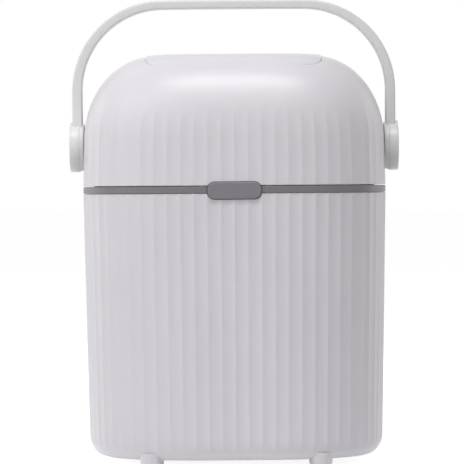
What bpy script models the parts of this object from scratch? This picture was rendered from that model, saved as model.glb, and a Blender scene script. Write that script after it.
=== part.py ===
"""Nappy bin: a fluted bin with a hinged domed lid, a sprung drop flap, a front latch and a carrying handle.

Metres, +Z up, front at -Y. The origin is on the floor, in the middle of the body's plan.
"""
import math

import bmesh
import bpy
from mathutils import Matrix, Vector

# Body plan and height
RIM_WIDTH = 0.2486
RIM_DEPTH = 0.2140
PLAN_POWER = 3.0
FOOT_HEIGHT = 0.0060
BODY_HEIGHT = 0.2130
BODY_TAPER = 0.0039
BASE_RUN = 0.0120
BASE_RISE = 0.0160
WALL = 0.0026
FLUTE_PITCH = 0.0116
FLUTE_DEPTH = 0.0007

# Clearances
SEAT_GAP = 0.0003
RUN_GAP = 0.0004
DOME_GAP = 0.0007
SEAM_GAP = 0.0006
OVERRUN = 0.0040
TRIM = 0.0001

# Rim band
BAND_HEIGHT = 0.0055
BAND_WALL = 0.0024
DECK_THICK = 0.0020
SKIRT_THICK = 0.0018
SKIRT_DROP = 0.0085
BUCKET_SIDE_ROOM = 0.0082
BUCKET_END_ROOM = 0.0215

# Bucket, bag ring and gasket
LIP_WIDTH = 0.0055
LIP_THICK = 0.0018
BUCKET_WALL = 0.0018
BUCKET_TAPER = 0.0060
BUCKET_FILLET = 0.0140
BUCKET_LIFT = 0.0040
RING_THICK = 0.0016
RING_DROP = 0.0110
RING_EDGE = 0.0004
GASKET_WIDTH = 0.0044
GASKET_HEIGHT = 0.0044
GASKET_INSET = 0.0010

# Lid
LID_WALL_HEIGHT = 0.0366
LID_TAPER = 0.0008
SHOULDER_RISE = 0.0693
SHOULDER_RUN_SIDE = 0.0565
SHOULDER_RUN_FRONT = 0.0480
LINER_THICK = 0.0020
LINER_FLOOR_DROP = 0.0057
LINER_FLANGE_RISE = 0.0166

# Flap and its opening
FLAP_SIDE_INSET = 0.0531
FLAP_FRONT_INSET = 0.0305
FLAP_REAR_INSET = 0.0495
FLAP_CORNER = 0.0200
FLAP_GAP = 0.0006
FLAP_CROWN = 0.0008
FLAP_EDGE = 0.0014
FLAP_THICK = 0.0022
FLAP_SKIRT = 0.0016
SEAL_THICK = 0.0015
SEAL_WIDTH = 0.0031
PLATE_THICK = 0.0020
FLANGE = 0.0052
FLAP_AXIS_BACK = 0.0090
FLAP_AXIS_DROP = 0.0129
FLAP_PIN_RADIUS = 0.0020
FLAP_PIN_LENGTH = 0.0920
FLAP_KNUCKLE_RADIUS = 0.0046
FLAP_KNUCKLE_IN = 0.0180
FLAP_KNUCKLE_OUT = 0.0360
FLAP_SPRING_HALF = 0.0110
FLAP_SPRING_WIRE = 0.0006
FLAP_BOSS_WIDTH = 0.0085
PANEL_EDGE_SHARES = (0, 0.12, 0.45, 1)
PANEL_FIELD_SHARES = (0.17, 0.34, 0.62)

# Drop chute
CHUTE_ROOM = 0.0021
CHUTE_REAR_INSET = 0.0335
CHUTE_NARROW = 0.0078
CHUTE_LIP = 0.0050

# Latch
BUTTON_HALF_WIDTH = 0.0216
BUTTON_HALF_HEIGHT = 0.0067
BUTTON_CORNER = 0.0055
BUTTON_DEPTH = 0.0050
BUTTON_PROUD = 0.0012
BUTTON_EDGE = 0.0008
BUTTON_GAP = 0.0008
BUTTON_TRAVEL = 0.0035
BUTTON_DROP = 0.0007
HOUSING_WALL = 0.0024
HOUSING_DEPTH = 0.0080
HOUSING_BACK = 0.0016
HOUSING_SETBACK = 0.0010
EAR_LENGTH = 0.0080
EAR_HALF_HEIGHT = 0.0040
EAR_DROP = 0.0066
STEM_HALF_WIDTH = 0.0030
STEM_HALF_HEIGHT = 0.0025
LATCH_SPRING_RADIUS = 0.0052
LATCH_SPRING_WIRE = 0.0005
HOOK_THICK = 0.0020
HOOK_HALF_WIDTH = 0.0060
HOOK_NOSE = 0.0056
HOOK_NOSE_HEIGHT = 0.0029
STRIKE_THICK = 0.0015
STRIKE_HALF_WIDTH = 0.0110
STRIKE_WIDTH = 0.0058

# Rear hinge
HINGE_OUTSET = 0.0006
HINGE_RADIUS = 0.0044
HINGE_PIN_RADIUS = 0.0018
HINGE_HALF_WIDTH = 0.0400
BODY_KNUCKLE_IN = 0.0140
BODY_KNUCKLE_OUT = 0.0240
HINGE_PLATE_THICK = 0.0020
HINGE_PAD = 0.0030
BRACKET_DROP = 0.0240
ARM_RISE = 0.0260
WEB_THICK = 0.0030
HINGE_SCREW_INSET = 0.0080
HINGE_SCREW_SIDE = 0.0054
HINGE_PAD_SIDE = 0.0020
LID_SPRING_WIRE = 0.0006

# Handle and its pivots
PIVOT_RISE = 0.0323
DRUM_RADIUS = 0.0205
DRUM_HUB_RADIUS = 0.0165
DRUM_CONE = 0.0032
DRUM_RIM = 0.0080
DRUM_EDGE = 0.0008
DRUM_STANDOFF = 0.0006
CUP_RADIUS = 0.0140
CUP_DEPTH = 0.0055
STRAP_INSET = 0.0022
STRAP_LEG_THICK = 0.0078
STRAP_TOP_THICK = 0.0068
STRAP_LEG_WIDTH = 0.0230
STRAP_TOP_WIDTH = 0.0200
STRAP_CORNER = 0.0745
STRAP_RISE = 0.1207
STRAP_FOOT = 0.0150
HUB_RADIUS = 0.0060
HUB_FLANGE_RADIUS = 0.0110
HUB_FLANGE_THICK = 0.0021
HUB_PAD = 0.0010
HUB_PAD_RIM = 0.0010
WASHER_RADIUS = 0.0095
WASHER_THICK = 0.0010
CAP_THICK = 0.0017
CAP_DOME = 0.0002

# Screws
SCREW_RADIUS = 0.0014
SCREW_HEAD_RADIUS = 0.0033
SCREW_HEAD = 0.0016
SHORT_SCREW = 0.0048
LINER_SCREW = 0.0150
BOSS_RADIUS = 0.0040
LINER_SCREW_INSET = 0.0273
LINER_SCREW_SHARE = 0.42

# Feet
FOOT_SIDE_INSET = 0.0568
FOOT_END_INSET = 0.0217
FOOT_TOP_RADIUS = 0.0095
FOOT_END_RADIUS = 0.0092
PAD_RADIUS = 0.0080
PAD_THICK = 0.0020
PAD_PLUG_RADIUS = 0.0030
PAD_PLUG = 0.0040

# Odour filter
FILTER_INSET = 0.0303
FILTER_HALF_WIDTH = 0.0080
FILTER_HALF_LENGTH = 0.0220
FILTER_HEIGHT = 0.0130
FILTER_WALL = 0.0014
DOOR_AXIS_INSET = 0.0405
DOOR_REACH = 0.0200
DOOR_HALF_LENGTH = 0.0240
DOOR_THICK = 0.0018
DOOR_KNUCKLE_RADIUS = 0.0021
DOOR_PIN_RADIUS = 0.0010
DOOR_EAR = 0.0040
DOOR_SLOT_WIDTH = 0.0024
DOOR_SLOT_PITCH = 0.0060

# Counts and angles
RING_QUARTER = 10
ROUND_SIDES = 24
DRUM_SIDES = 24
SCREW_SIDES = 8
SMALL_SIDES = 12
SHARP_ANGLE = math.radians(35)
FLAT_ANGLE = math.radians(1)
FLUTE_END_TURN = math.radians(30)
SPRING_TURN_POINTS = 8

# Colours, linear
WHITE = (0.760, 0.745, 0.765)
SEAM_GREY = (0.190, 0.180, 0.190)
BUTTON_GREY = (0.200, 0.185, 0.205)
DARK_GREY = (0.035, 0.035, 0.038)
BUCKET_WHITE = (0.700, 0.700, 0.710)
RUBBER_GREY = (0.120, 0.120, 0.125)
SEAL_GREY = (0.420, 0.420, 0.430)
STEEL = (0.560, 0.560, 0.570)
CARBON = (0.020, 0.020, 0.022)

# Levels and places that follow from the sizes above
HALF_WIDTH = RIM_WIDTH / 2
HALF_DEPTH = RIM_DEPTH / 2
FLAP_HALF_WIDTH = HALF_WIDTH - FLAP_SIDE_INSET
FLAP_FRONT = HALF_DEPTH - FLAP_FRONT_INSET
FLAP_REAR = HALF_DEPTH - FLAP_REAR_INSET
CHUTE_REAR = HALF_DEPTH - CHUTE_REAR_INSET
LINER_SCREW_X = HALF_WIDTH - LINER_SCREW_INSET
LINER_SCREW_Y = HALF_DEPTH * LINER_SCREW_SHARE
FOOT_X = HALF_WIDTH - FOOT_SIDE_INSET
FOOT_Y = HALF_DEPTH - FOOT_END_INSET
FILTER_X = HALF_WIDTH - FILTER_INSET
DOOR_AXIS_X = HALF_WIDTH - DOOR_AXIS_INSET
RIM_Z = FOOT_HEIGHT + BODY_HEIGHT
BAND_Z = RIM_Z + SEAT_GAP
BAND_TOP_Z = BAND_Z + BAND_HEIGHT
DECK_Z = BAND_Z + DECK_THICK
LIP_Z = DECK_Z + SEAT_GAP
LIP_TOP_Z = LIP_Z + LIP_THICK
RING_Z = LIP_TOP_Z + SEAT_GAP
RING_TOP_Z = RING_Z + RING_THICK
GASKET_Z = RING_TOP_Z + SEAT_GAP
GASKET_TOP_Z = GASKET_Z + GASKET_HEIGHT
FLOOR_Z = GASKET_TOP_Z + SEAT_GAP + LINER_FLOOR_DROP
FLOOR_TOP_Z = FLOOR_Z + LINER_THICK
LID_Z = BAND_TOP_Z + SEAM_GAP
SHOULDER_Z = LID_Z + LID_WALL_HEIGHT
CROWN_Z = SHOULDER_Z + SHOULDER_RISE
SEAT_HALF_WIDTH = HALF_WIDTH - BUCKET_SIDE_ROOM
SEAT_HALF_DEPTH = HALF_DEPTH - BUCKET_END_ROOM
BUTTON_Z = (BAND_Z + BAND_TOP_Z) / 2 - BUTTON_DROP
HINGE_Y = HALF_DEPTH + HINGE_OUTSET
HINGE_Z = (BAND_Z + BAND_TOP_Z) / 2
PIVOT_Z = LID_Z + PIVOT_RISE
FLAP_AXIS_Y = FLAP_REAR + FLAP_AXIS_BACK
FLAP_AXIS_Z = CROWN_Z - FLAP_AXIS_DROP
SEAL_INSET = WALL + DOME_GAP
PLATE_INSET = SEAL_INSET + SEAL_THICK + SEAT_GAP
BUTTON_FACE_Y = -HALF_DEPTH - BUTTON_PROUD
BUTTON_BACK_Y = BUTTON_FACE_Y + BUTTON_DEPTH
HOUSING_Y = -HALF_DEPTH + WALL + HOUSING_SETBACK
HOUSING_END_Y = HOUSING_Y + HOUSING_DEPTH
HOOK_Y = HOUSING_END_Y + HOUSING_SETBACK
HOOK_END_Y = HOOK_Y + HOOK_THICK
PAD_TOP_Y = HALF_DEPTH - WALL - HINGE_PAD
PLATE_Y = PAD_TOP_Y - SEAT_GAP
STRIKE_Z = FLOOR_TOP_Z + SEAT_GAP
NOSE_Z = STRIKE_Z + STRIKE_THICK + SEAT_GAP
STRIKE_EDGE_Y = HOOK_Y - HOUSING_SETBACK - SEAT_GAP


def clear_scene():
    for obj in list(bpy.data.objects):
        bpy.data.objects.remove(obj, do_unlink=True)


def new_collection(name):
    made = bpy.data.collections.new(name)
    bpy.context.scene.collection.children.link(made)
    return made


def new_object(name, mesh, home):
    obj = bpy.data.objects.new(name, mesh)
    home.objects.link(obj)
    return obj


def finished_mesh(name, bm):
    """Mesh of a closed shape, faces pointing out, smooth but for its sharp edges."""
    bmesh.ops.recalc_face_normals(bm, faces=bm.faces)
    mesh = bpy.data.meshes.new(name)
    bm.to_mesh(mesh)
    bm.free()
    mesh.shade_smooth()
    mesh.set_sharp_from_angle(angle=SHARP_ANGLE)
    return mesh


def loft(name, rings, home, closed=False):
    """Skin through rings of equal count: capped at both ends, or closed on itself."""
    bm = bmesh.new()
    loops = [[bm.verts.new(point) for point in ring] for ring in rings]
    pairs = list(zip(loops, loops[1:]))
    if closed:
        pairs.append((loops[-1], loops[0]))
    for low, high in pairs:
        for i, corner in enumerate(low):
            j = (i + 1) % len(low)
            bm.faces.new((corner, low[j], high[j], high[i]))
    if not closed:
        bm.faces.new(list(reversed(loops[0])))
        bm.faces.new(loops[-1])
    return new_object(name, finished_mesh(name, bm), home)


def block(name, low, high, home):
    """Box between two corners."""
    low = Vector(low)
    high = Vector(high)
    bm = bmesh.new()
    bmesh.ops.create_cube(bm, size=1)
    bmesh.ops.scale(bm, vec=high - low, verts=bm.verts)
    obj = new_object(name, finished_mesh(name, bm), home)
    obj.location = (low + high) / 2
    return obj


def rod(name, radius, start, end, home, sides=ROUND_SIDES, end_radius=None):
    """Cylinder, or cone where end_radius differs, between two points."""
    start = Vector(start)
    end = Vector(end)
    bm = bmesh.new()
    bmesh.ops.create_cone(bm, cap_ends=True, segments=sides, radius1=radius,
                          radius2=radius if end_radius is None else end_radius, depth=(end - start).length)
    obj = new_object(name, finished_mesh(name, bm), home)
    obj.location = (start + end) / 2
    obj.rotation_euler = (end - start).to_track_quat("Z", "Y").to_euler()
    return obj


def turned(name, profile, place, axis, home, sides=ROUND_SIDES):
    """Profile of (radius, height) points, top to bottom down its outer side, spun about an axis."""
    bm = bmesh.new()
    verts = [bm.verts.new((radius, 0, height)) for radius, height in profile]
    for a, b in zip(verts, verts[1:]):
        bm.edges.new((a, b))
    if profile[0][0] > 0:
        bm.edges.new((verts[-1], verts[0]))
    mesh = bpy.data.meshes.new(name)
    bm.to_mesh(mesh)
    bm.free()
    obj = new_object(name, mesh, home)
    obj.location = place
    obj.rotation_euler = Vector(axis).to_track_quat("Z", "Y").to_euler()
    spin = obj.modifiers.new("spin", "SCREW")
    spin.steps = sides
    spin.render_steps = sides
    spin.use_merge_vertices = True
    spin.merge_threshold = 0.00001
    spin.use_smooth_shade = True
    return obj


def wire(name, points, radius, home, smooth=1):
    """Round wire through points, with its least gap to itself measured and printed."""
    near = SPRING_TURN_POINTS // 2
    pairs = [(a, b) for i, a in enumerate(points) for b in points[i + near:]]
    least = min((a - b).length for a, b in pairs) - radius * 2
    print(name, "least gap to itself", round(least, 5))
    curve = bpy.data.curves.new(name, "CURVE")
    curve.dimensions = "3D"
    spline = curve.splines.new("POLY")
    spline.points.add(len(points) - 1)
    for at, point in zip(spline.points, points):
        at.co = (*point, 1)
    curve.bevel_depth = radius
    curve.bevel_resolution = smooth
    curve.use_fill_caps = True
    return new_object(name, curve, home)


def slab(name, outline, front_y, back_y, home):
    """Flat outline of (x, z) points, filled and thickened from front_y to back_y, as a mesh."""
    curve = bpy.data.curves.new(name + "_outline", "CURVE")
    curve.dimensions = "2D"
    curve.fill_mode = "BOTH"
    curve.extrude = (back_y - front_y) / 2
    spline = curve.splines.new("POLY")
    spline.points.add(len(outline) - 1)
    spline.use_cyclic_u = True
    for at, (x, z) in zip(spline.points, outline):
        at.co = (x, z, 0, 1)
    flat = new_object(name + "_outline", curve, home)
    flat.location = (0, (front_y + back_y) / 2, 0)
    flat.rotation_euler = (math.pi / 2, 0, 0)
    bpy.context.view_layer.update()
    solid = bpy.data.meshes.new_from_object(flat.evaluated_get(bpy.context.evaluated_depsgraph_get()))
    place = flat.matrix_world.copy()
    bpy.data.objects.remove(flat)
    bm = bmesh.new()
    bm.from_mesh(solid)
    bmesh.ops.remove_doubles(bm, verts=bm.verts, dist=0.00001)
    bmesh.ops.dissolve_limit(bm, angle_limit=FLAT_ANGLE, verts=bm.verts, edges=bm.edges)
    obj = new_object(name, finished_mesh(name, bm), home)
    obj.matrix_world = place
    return obj


def merged(name, pieces, home):
    """Several shapes as one object, for a cutter or a joiner."""
    bm = bmesh.new()
    for piece in pieces:
        mesh = piece.data.copy()
        mesh.transform(piece.matrix_basis)
        bm.from_mesh(mesh)
        bpy.data.objects.remove(piece)
    mesh = bpy.data.meshes.new(name)
    bm.to_mesh(mesh)
    bm.free()
    return new_object(name, mesh, home)


def combine(obj, other, operation):
    """Exact Boolean of obj with another object, which is kept as a hidden guide."""
    other.hide_render = True
    other.display_type = "WIRE"
    step = obj.modifiers.new(operation.lower() + "_" + other.name, "BOOLEAN")
    step.operation = operation
    step.solver = "EXACT"
    step.object = other


def cut(obj, *tools):
    for tool in tools:
        combine(obj, tool, "DIFFERENCE")


def join(obj, *others):
    for other in others:
        combine(obj, other, "UNION")


def soften(obj, width, segments=2):
    """Rounded edges."""
    bevel = obj.modifiers.new("edges", "BEVEL")
    bevel.width = width
    bevel.segments = segments
    bevel.limit_method = "ANGLE"
    bevel.angle_limit = SHARP_ANGLE


def finish(obj, colour, roughness=0.45, metallic=0.0):
    """Gives the object its own material."""
    made = bpy.data.materials.new(obj.name)
    made.use_nodes = True
    shader = made.node_tree.nodes["Principled BSDF"]
    shader.inputs["Base Color"].default_value = (*colour, 1)
    shader.inputs["Roughness"].default_value = roughness
    shader.inputs["Metallic"].default_value = metallic
    obj.data.materials.clear()
    obj.data.materials.append(made)
    return obj


def pivot_empty(name, place, home, parent=None):
    """Empty on a joint's axis, which its moving pieces are parented to."""
    empty = bpy.data.objects.new(name, None)
    home.objects.link(empty)
    empty.location = place
    if parent is not None:
        empty.parent = parent
        empty.matrix_parent_inverse = Matrix.Translation(-world_place(parent))
    return empty


def world_place(empty):
    """Where an empty stands, through its parents."""
    place = empty.location.copy()
    if empty.parent is not None:
        place = place + world_place(empty.parent) + empty.matrix_parent_inverse.to_translation()
    return place


def carry(empty, *pieces):
    """Parents pieces to an empty and leaves them where they are."""
    for piece in pieces:
        piece.parent = empty
        piece.matrix_parent_inverse = Matrix.Translation(-world_place(empty))


def mirrored(quarter):
    """Whole outline, anticlockwise, from the points of its first quarter."""
    back = [(-x, y) for x, y in reversed(quarter[:-1])]
    below = [(-x, -y) for x, y in quarter[1:]]
    front = [(x, -y) for x, y in reversed(quarter[1:-1])]
    return quarter + back + below + front


def plan_point(half_width, half_depth, turn):
    """Point of the rounded-square plan at one turn of its quarter."""
    x = half_width * max(math.cos(turn), 0) ** (2 / PLAN_POWER)
    y = half_depth * max(math.sin(turn), 0) ** (2 / PLAN_POWER)
    return x, y


def even_turns(steps, samples=4000):
    """Turns that split the rim's quarter into equal lengths."""
    turns = [math.pi / 2 * i / samples for i in range(samples + 1)]
    points = [plan_point(HALF_WIDTH, HALF_DEPTH, turn) for turn in turns]
    lengths = [0.0]
    for a, b in zip(points, points[1:]):
        lengths.append(lengths[-1] + math.dist(a, b))
    found = []
    at = 0
    for k in range(steps + 1):
        goal = lengths[-1] * k / steps
        while at < samples and lengths[at] < goal:
            at += 1
        found.append(turns[at])
    return found, lengths[-1]


def flute_turns():
    """Two turns for each flute, a ridge and a valley, with a ridge in the middle of each side."""
    length = even_turns(1)[1]
    flutes = 2 * round(length / FLUTE_PITCH / 2)
    return even_turns(2 * flutes)[0]


SMOOTH_TURNS = even_turns(RING_QUARTER)[0]
FLUTE_TURNS = flute_turns()


def plan_ring(half_width, half_depth, z, turns=None, groove=0.0):
    """Ring of the plan at height z. With a groove, every second point is drawn in."""
    quarter = []
    for k, turn in enumerate(turns or SMOOTH_TURNS):
        x, y = plan_point(half_width, half_depth, turn)
        if groove and k % 2:
            across = (x / half_width) ** (PLAN_POWER - 1) / half_width
            along = (y / half_depth) ** (PLAN_POWER - 1) / half_depth
            size = math.hypot(across, along)
            x -= groove * across / size
            y -= groove * along / size
        quarter.append((x, y))
    return [Vector((x, y, z)) for x, y in mirrored(quarter)]


def body_halves(z, inset=0.0):
    """Half width and half depth of the body's side at height z."""
    base_z = FOOT_HEIGHT + BASE_RISE
    drawn = BODY_TAPER * (RIM_Z - z) / (RIM_Z - base_z)
    return HALF_WIDTH - drawn - inset, HALF_DEPTH - drawn - inset


def base_ring(angle, inset=0.0, turns=None, groove=0.0):
    """Ring of the fillet under the body, from 0 at its side to a quarter turn at its underside."""
    half_width, half_depth = body_halves(FOOT_HEIGHT + BASE_RISE)
    drawn = BASE_RUN - (BASE_RUN - inset) * math.cos(angle)
    z = FOOT_HEIGHT + BASE_RISE - (BASE_RISE - inset) * math.sin(angle)
    return plan_ring(half_width - drawn, half_depth - drawn, z, turns, groove)


def lid_halves(z, inset=0.0):
    """Half width and half depth of the lid's side below the shoulder."""
    drawn = LID_TAPER * (z - LID_Z) / LID_WALL_HEIGHT
    return HALF_WIDTH - drawn - inset, HALF_DEPTH - drawn - inset


def dome_halves(level_share, inset=0.0):
    """Half sizes of the dome where its shoulder still stands out by a share of its run."""
    half_width, half_depth = lid_halves(SHOULDER_Z)
    wide = half_width - SHOULDER_RUN_SIDE + (SHOULDER_RUN_SIDE - inset) * level_share
    deep = half_depth - SHOULDER_RUN_FRONT + (SHOULDER_RUN_FRONT - inset) * level_share
    return wide, deep


def dome_ring(angle, inset=0.0, turns=None, groove=0.0):
    """Ring of the dome, from 0 at the shoulder's foot to a quarter turn at the crown."""
    wide, deep = dome_halves(math.cos(angle), inset)
    z = SHOULDER_Z + (SHOULDER_RISE - inset) * math.sin(angle)
    return plan_ring(wide, deep, z, turns, groove)


def dome_height(x, y, inset=0.0):
    """Height of the dome's skin, or of one parallel to it, above a point of the plan."""
    low = 0.0
    high = 1.0
    for _ in range(40):
        middle = (low + high) / 2
        wide, deep = dome_halves(middle, inset)
        if (abs(x) / wide) ** PLAN_POWER + (abs(y) / deep) ** PLAN_POWER > 1:
            low = middle
        else:
            high = middle
    return SHOULDER_Z + (SHOULDER_RISE - inset) * math.sqrt(max(1 - high * high, 0))


def rounded_outline(right, front, rear, radius, straight=2, steps=RING_QUARTER):
    """Rounded rectangle about x = 0 from y = -front to y = rear, anticlockwise from its right side."""
    half = (front + rear) / 2
    radius = min(radius, half * 0.9, right * 0.9)
    bends = steps - 2 * straight
    quarter = [(right, (half - radius) * k / straight) for k in range(straight)]
    for k in range(bends + 1):
        angle = math.pi / 2 * k / bends
        quarter.append((right - radius + radius * math.cos(angle), half - radius + radius * math.sin(angle)))
    quarter += [((right - radius) * (straight - k) / straight, half) for k in range(1, straight + 1)]
    middle = (rear - front) / 2
    return [(x, y + middle) for x, y in mirrored(quarter)]


def flap_outline(inset):
    """The flap's outline, drawn in by an inset, or let out by a negative one."""
    radius = max(FLAP_CORNER - inset, FLAP_SKIRT)
    return rounded_outline(FLAP_HALF_WIDTH - inset, FLAP_FRONT - inset, FLAP_REAR - inset, radius)


def draped(outline, inset, drop=0.0):
    """Outline laid on a skin parallel to the dome, lowered by a drop."""
    return [Vector((x, y, dome_height(x, y, inset) - drop)) for x, y in outline]


def level(outline, z):
    return [Vector((x, y, z)) for x, y in outline]


def coil(radius, start, end, turns, axis_point, along, tail=0.0):
    """Points of a coil about an axis along X or Y, its ends turned out by a tail."""
    count = int(turns * SPRING_TURN_POINTS)
    points = []
    for k in range(count + 1):
        angle = 2 * math.pi * k / SPRING_TURN_POINTS
        shift = start + (end - start) * k / count
        side = radius * math.cos(angle)
        rise = radius * math.sin(angle)
        if along == "X":
            points.append(Vector((shift, axis_point[1] + side, axis_point[2] + rise)))
        else:
            points.append(Vector((axis_point[0] + side, shift, axis_point[2] + rise)))
    if tail:
        points.append(points[-1] + Vector((0, 0, tail)))
    return points


def screw(name, place, axis, length, home):
    """Pan head screw. Its place is the underside of the head, its axis points out of the head."""
    neck = SCREW_HEAD * 0.6
    profile = [(0, SCREW_HEAD), (SCREW_HEAD_RADIUS * 0.7, SCREW_HEAD), (SCREW_HEAD_RADIUS, neck),
               (SCREW_HEAD_RADIUS, 0), (SCREW_RADIUS, 0), (SCREW_RADIUS, -length + SCREW_RADIUS),
               (0, -length)]
    return finish(turned(name, profile, place, axis, home, SCREW_SIDES), STEEL, 0.35, 1.0)


def button_outline(grow, z=None):
    """Outline of the push button in (x, z), let out all round."""
    at = BUTTON_Z if z is None else z
    wide = BUTTON_HALF_WIDTH + grow
    tall = BUTTON_HALF_HEIGHT + grow
    flat = rounded_outline(wide, tall, tall, BUTTON_CORNER + grow, straight=1, steps=8)
    return [(x, y + at) for x, y in flat]


def make_body(parts, tools):
    """Fluted body with its pegs, housing bosses and hinge pad."""
    quarter = math.pi / 2
    rings = [base_ring(quarter, 0, FLUTE_TURNS), base_ring(quarter * 0.66, 0, FLUTE_TURNS),
             base_ring(FLUTE_END_TURN, 0, FLUTE_TURNS),
             base_ring(0, 0, FLUTE_TURNS, FLUTE_DEPTH),
             plan_ring(HALF_WIDTH, HALF_DEPTH, RIM_Z, FLUTE_TURNS, FLUTE_DEPTH)]
    body = loft("body_shell", rings, parts)
    pegs = []
    for x in (-FOOT_X, FOOT_X):
        for y in (-FOOT_Y, FOOT_Y):
            low = (x, y, PAD_THICK + SEAT_GAP)
            high = (x, y, FOOT_HEIGHT + BASE_RISE)
            pegs.append(rod("peg", FOOT_END_RADIUS, low, high, tools, ROUND_SIDES, FOOT_TOP_RADIUS))
    join(body, merged("pegs", pegs, tools))

    hollow = [base_ring(quarter * k / 4, WALL) for k in (4, 3, 2, 1, 0)]
    hollow.append(plan_ring(*body_halves(RIM_Z + OVERRUN, WALL), RIM_Z + OVERRUN))
    cavity = loft("body_cavity", hollow, tools)
    ear_x = BUTTON_HALF_WIDTH + HOUSING_WALL + BUTTON_GAP + EAR_LENGTH / 2
    ear_z = BUTTON_Z - EAR_DROP
    bosses = []
    for x in (-ear_x, ear_x):
        bosses.append(rod("boss", BOSS_RADIUS, (x, -HALF_DEPTH - OVERRUN, ear_z),
                          (x, HOUSING_END_Y - HOUSING_BACK - SEAT_GAP, ear_z), tools, SMALL_SIDES))
    pad = BODY_KNUCKLE_OUT + HINGE_PAD_SIDE
    bosses.append(block("hinge_pad", (-pad, PAD_TOP_Y, HINGE_Z - BRACKET_DROP - BOSS_RADIUS),
                        (pad, HALF_DEPTH + OVERRUN, HINGE_Z - HINGE_RADIUS * 2), tools))
    cut(cavity, merged("body_bosses", bosses, tools))
    cut(body, cavity)

    holes = []
    for x in (-ear_x, ear_x):
        holes.append(rod("pilot", SCREW_RADIUS + SEAT_GAP, (x, HOUSING_END_Y, ear_z),
                         (x, HOUSING_END_Y - HOUSING_BACK - SHORT_SCREW, ear_z), tools, SMALL_SIDES))
    for x in hinge_screw_places():
        holes.append(rod("pilot", SCREW_RADIUS + SEAT_GAP,
                         (x, PLATE_Y - HINGE_PLATE_THICK, bracket_screw_z()),
                         (x, PLATE_Y - HINGE_PLATE_THICK + SHORT_SCREW + SEAT_GAP * 2, bracket_screw_z()),
                         tools, SMALL_SIDES))
    for x in (-FOOT_X, FOOT_X):
        for y in (-FOOT_Y, FOOT_Y):
            holes.append(rod("plug_hole", PAD_PLUG_RADIUS + SEAT_GAP, (x, y, 0),
                             (x, y, PAD_THICK + PAD_PLUG + SEAT_GAP), tools, SMALL_SIDES))
    cut(body, merged("body_holes", holes, tools))
    cut(body, slab("button_way", button_outline(BUTTON_GAP), -HALF_DEPTH - OVERRUN, HOUSING_Y, tools))
    cut(body, block("body_hinge_way",
                    (-HINGE_HALF_WIDTH - RUN_GAP * 4, PAD_TOP_Y - OVERRUN, HINGE_Z - HINGE_RADIUS * 1.5),
                    (HINGE_HALF_WIDTH + RUN_GAP * 4, HALF_DEPTH + OVERRUN, RIM_Z + OVERRUN), tools))
    return finish(body, WHITE, 0.42)


def hinge_screw_places():
    side = BODY_KNUCKLE_OUT - HINGE_SCREW_SIDE
    return [-side, side]


def bracket_screw_z():
    return HINGE_Z - BRACKET_DROP + HINGE_SCREW_INSET


def arm_screw_z():
    return HINGE_Z + ARM_RISE - HINGE_SCREW_INSET / 2


def make_feet(parts):
    """Rubber pads plugged into the pegs."""
    for side_x, word_x in ((-1, "left"), (1, "right")):
        for side_y, word_y in ((-1, "front"), (1, "rear")):
            edge = PAD_RADIUS * 0.93
            profile = [(0, PAD_THICK + PAD_PLUG), (PAD_PLUG_RADIUS, PAD_THICK + PAD_PLUG),
                       (PAD_PLUG_RADIUS, PAD_THICK), (PAD_RADIUS, PAD_THICK), (PAD_RADIUS, PAD_THICK / 4),
                       (edge, 0), (0, 0)]
            pad = turned("foot_pad_" + word_y + "_" + word_x, profile,
                         (side_x * FOOT_X, side_y * FOOT_Y, 0), (0, 0, 1), parts, SMALL_SIDES)
            finish(pad, RUBBER_GREY, 0.8)


def make_band(parts, tools):
    """Grey rim band with the deck that carries the bucket and a skirt inside the body."""
    skirt_z = BAND_Z - SKIRT_DROP
    skirt = WALL + SEAT_GAP
    rings = [plan_ring(HALF_WIDTH, HALF_DEPTH, BAND_Z), plan_ring(HALF_WIDTH, HALF_DEPTH, BAND_TOP_Z),
             plan_ring(HALF_WIDTH - BAND_WALL, HALF_DEPTH - BAND_WALL, BAND_TOP_Z),
             plan_ring(HALF_WIDTH - BAND_WALL, HALF_DEPTH - BAND_WALL, DECK_Z),
             plan_ring(SEAT_HALF_WIDTH - LIP_WIDTH, SEAT_HALF_DEPTH - LIP_WIDTH, DECK_Z),
             plan_ring(SEAT_HALF_WIDTH - LIP_WIDTH, SEAT_HALF_DEPTH - LIP_WIDTH, BAND_Z),
             plan_ring(*body_halves(BAND_Z, skirt + SKIRT_THICK), BAND_Z),
             plan_ring(*body_halves(skirt_z, skirt + SKIRT_THICK), skirt_z),
             plan_ring(*body_halves(skirt_z, skirt), skirt_z),
             plan_ring(*body_halves(BAND_Z, skirt), BAND_Z)]
    band = loft("rim_band", rings, parts, closed=True)
    wide = BUTTON_HALF_WIDTH + BUTTON_GAP + HOUSING_WALL + EAR_LENGTH + RUN_GAP * 2
    low = skirt_z - OVERRUN
    ways = [block("housing_way", (-wide, -HALF_DEPTH + WALL, low),
                  (wide, HOUSING_END_Y + RUN_GAP * 2, BAND_TOP_Z + OVERRUN), tools)]
    cut(band, merged("band_housing_way", ways, tools))
    cut(band, block("band_hook_way", (-HOOK_HALF_WIDTH - RUN_GAP * 2, HOUSING_END_Y - OVERRUN, low),
                    (HOOK_HALF_WIDTH + RUN_GAP * 2, HOOK_END_Y + BUTTON_TRAVEL + RUN_GAP,
                     BAND_TOP_Z + OVERRUN), tools))
    cut(band, slab("band_button_way", button_outline(BUTTON_GAP), -HALF_DEPTH - OVERRUN,
                   -HALF_DEPTH + WALL + RUN_GAP, tools))
    cut(band, block("band_hinge_way",
                    (-HINGE_HALF_WIDTH - RUN_GAP * 4, PLATE_Y - HINGE_PLATE_THICK - RUN_GAP, low),
                    (HINGE_HALF_WIDTH + RUN_GAP * 4, HALF_DEPTH + OVERRUN, BAND_TOP_Z + OVERRUN), tools))
    return finish(band, SEAM_GREY, 0.4)


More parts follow.
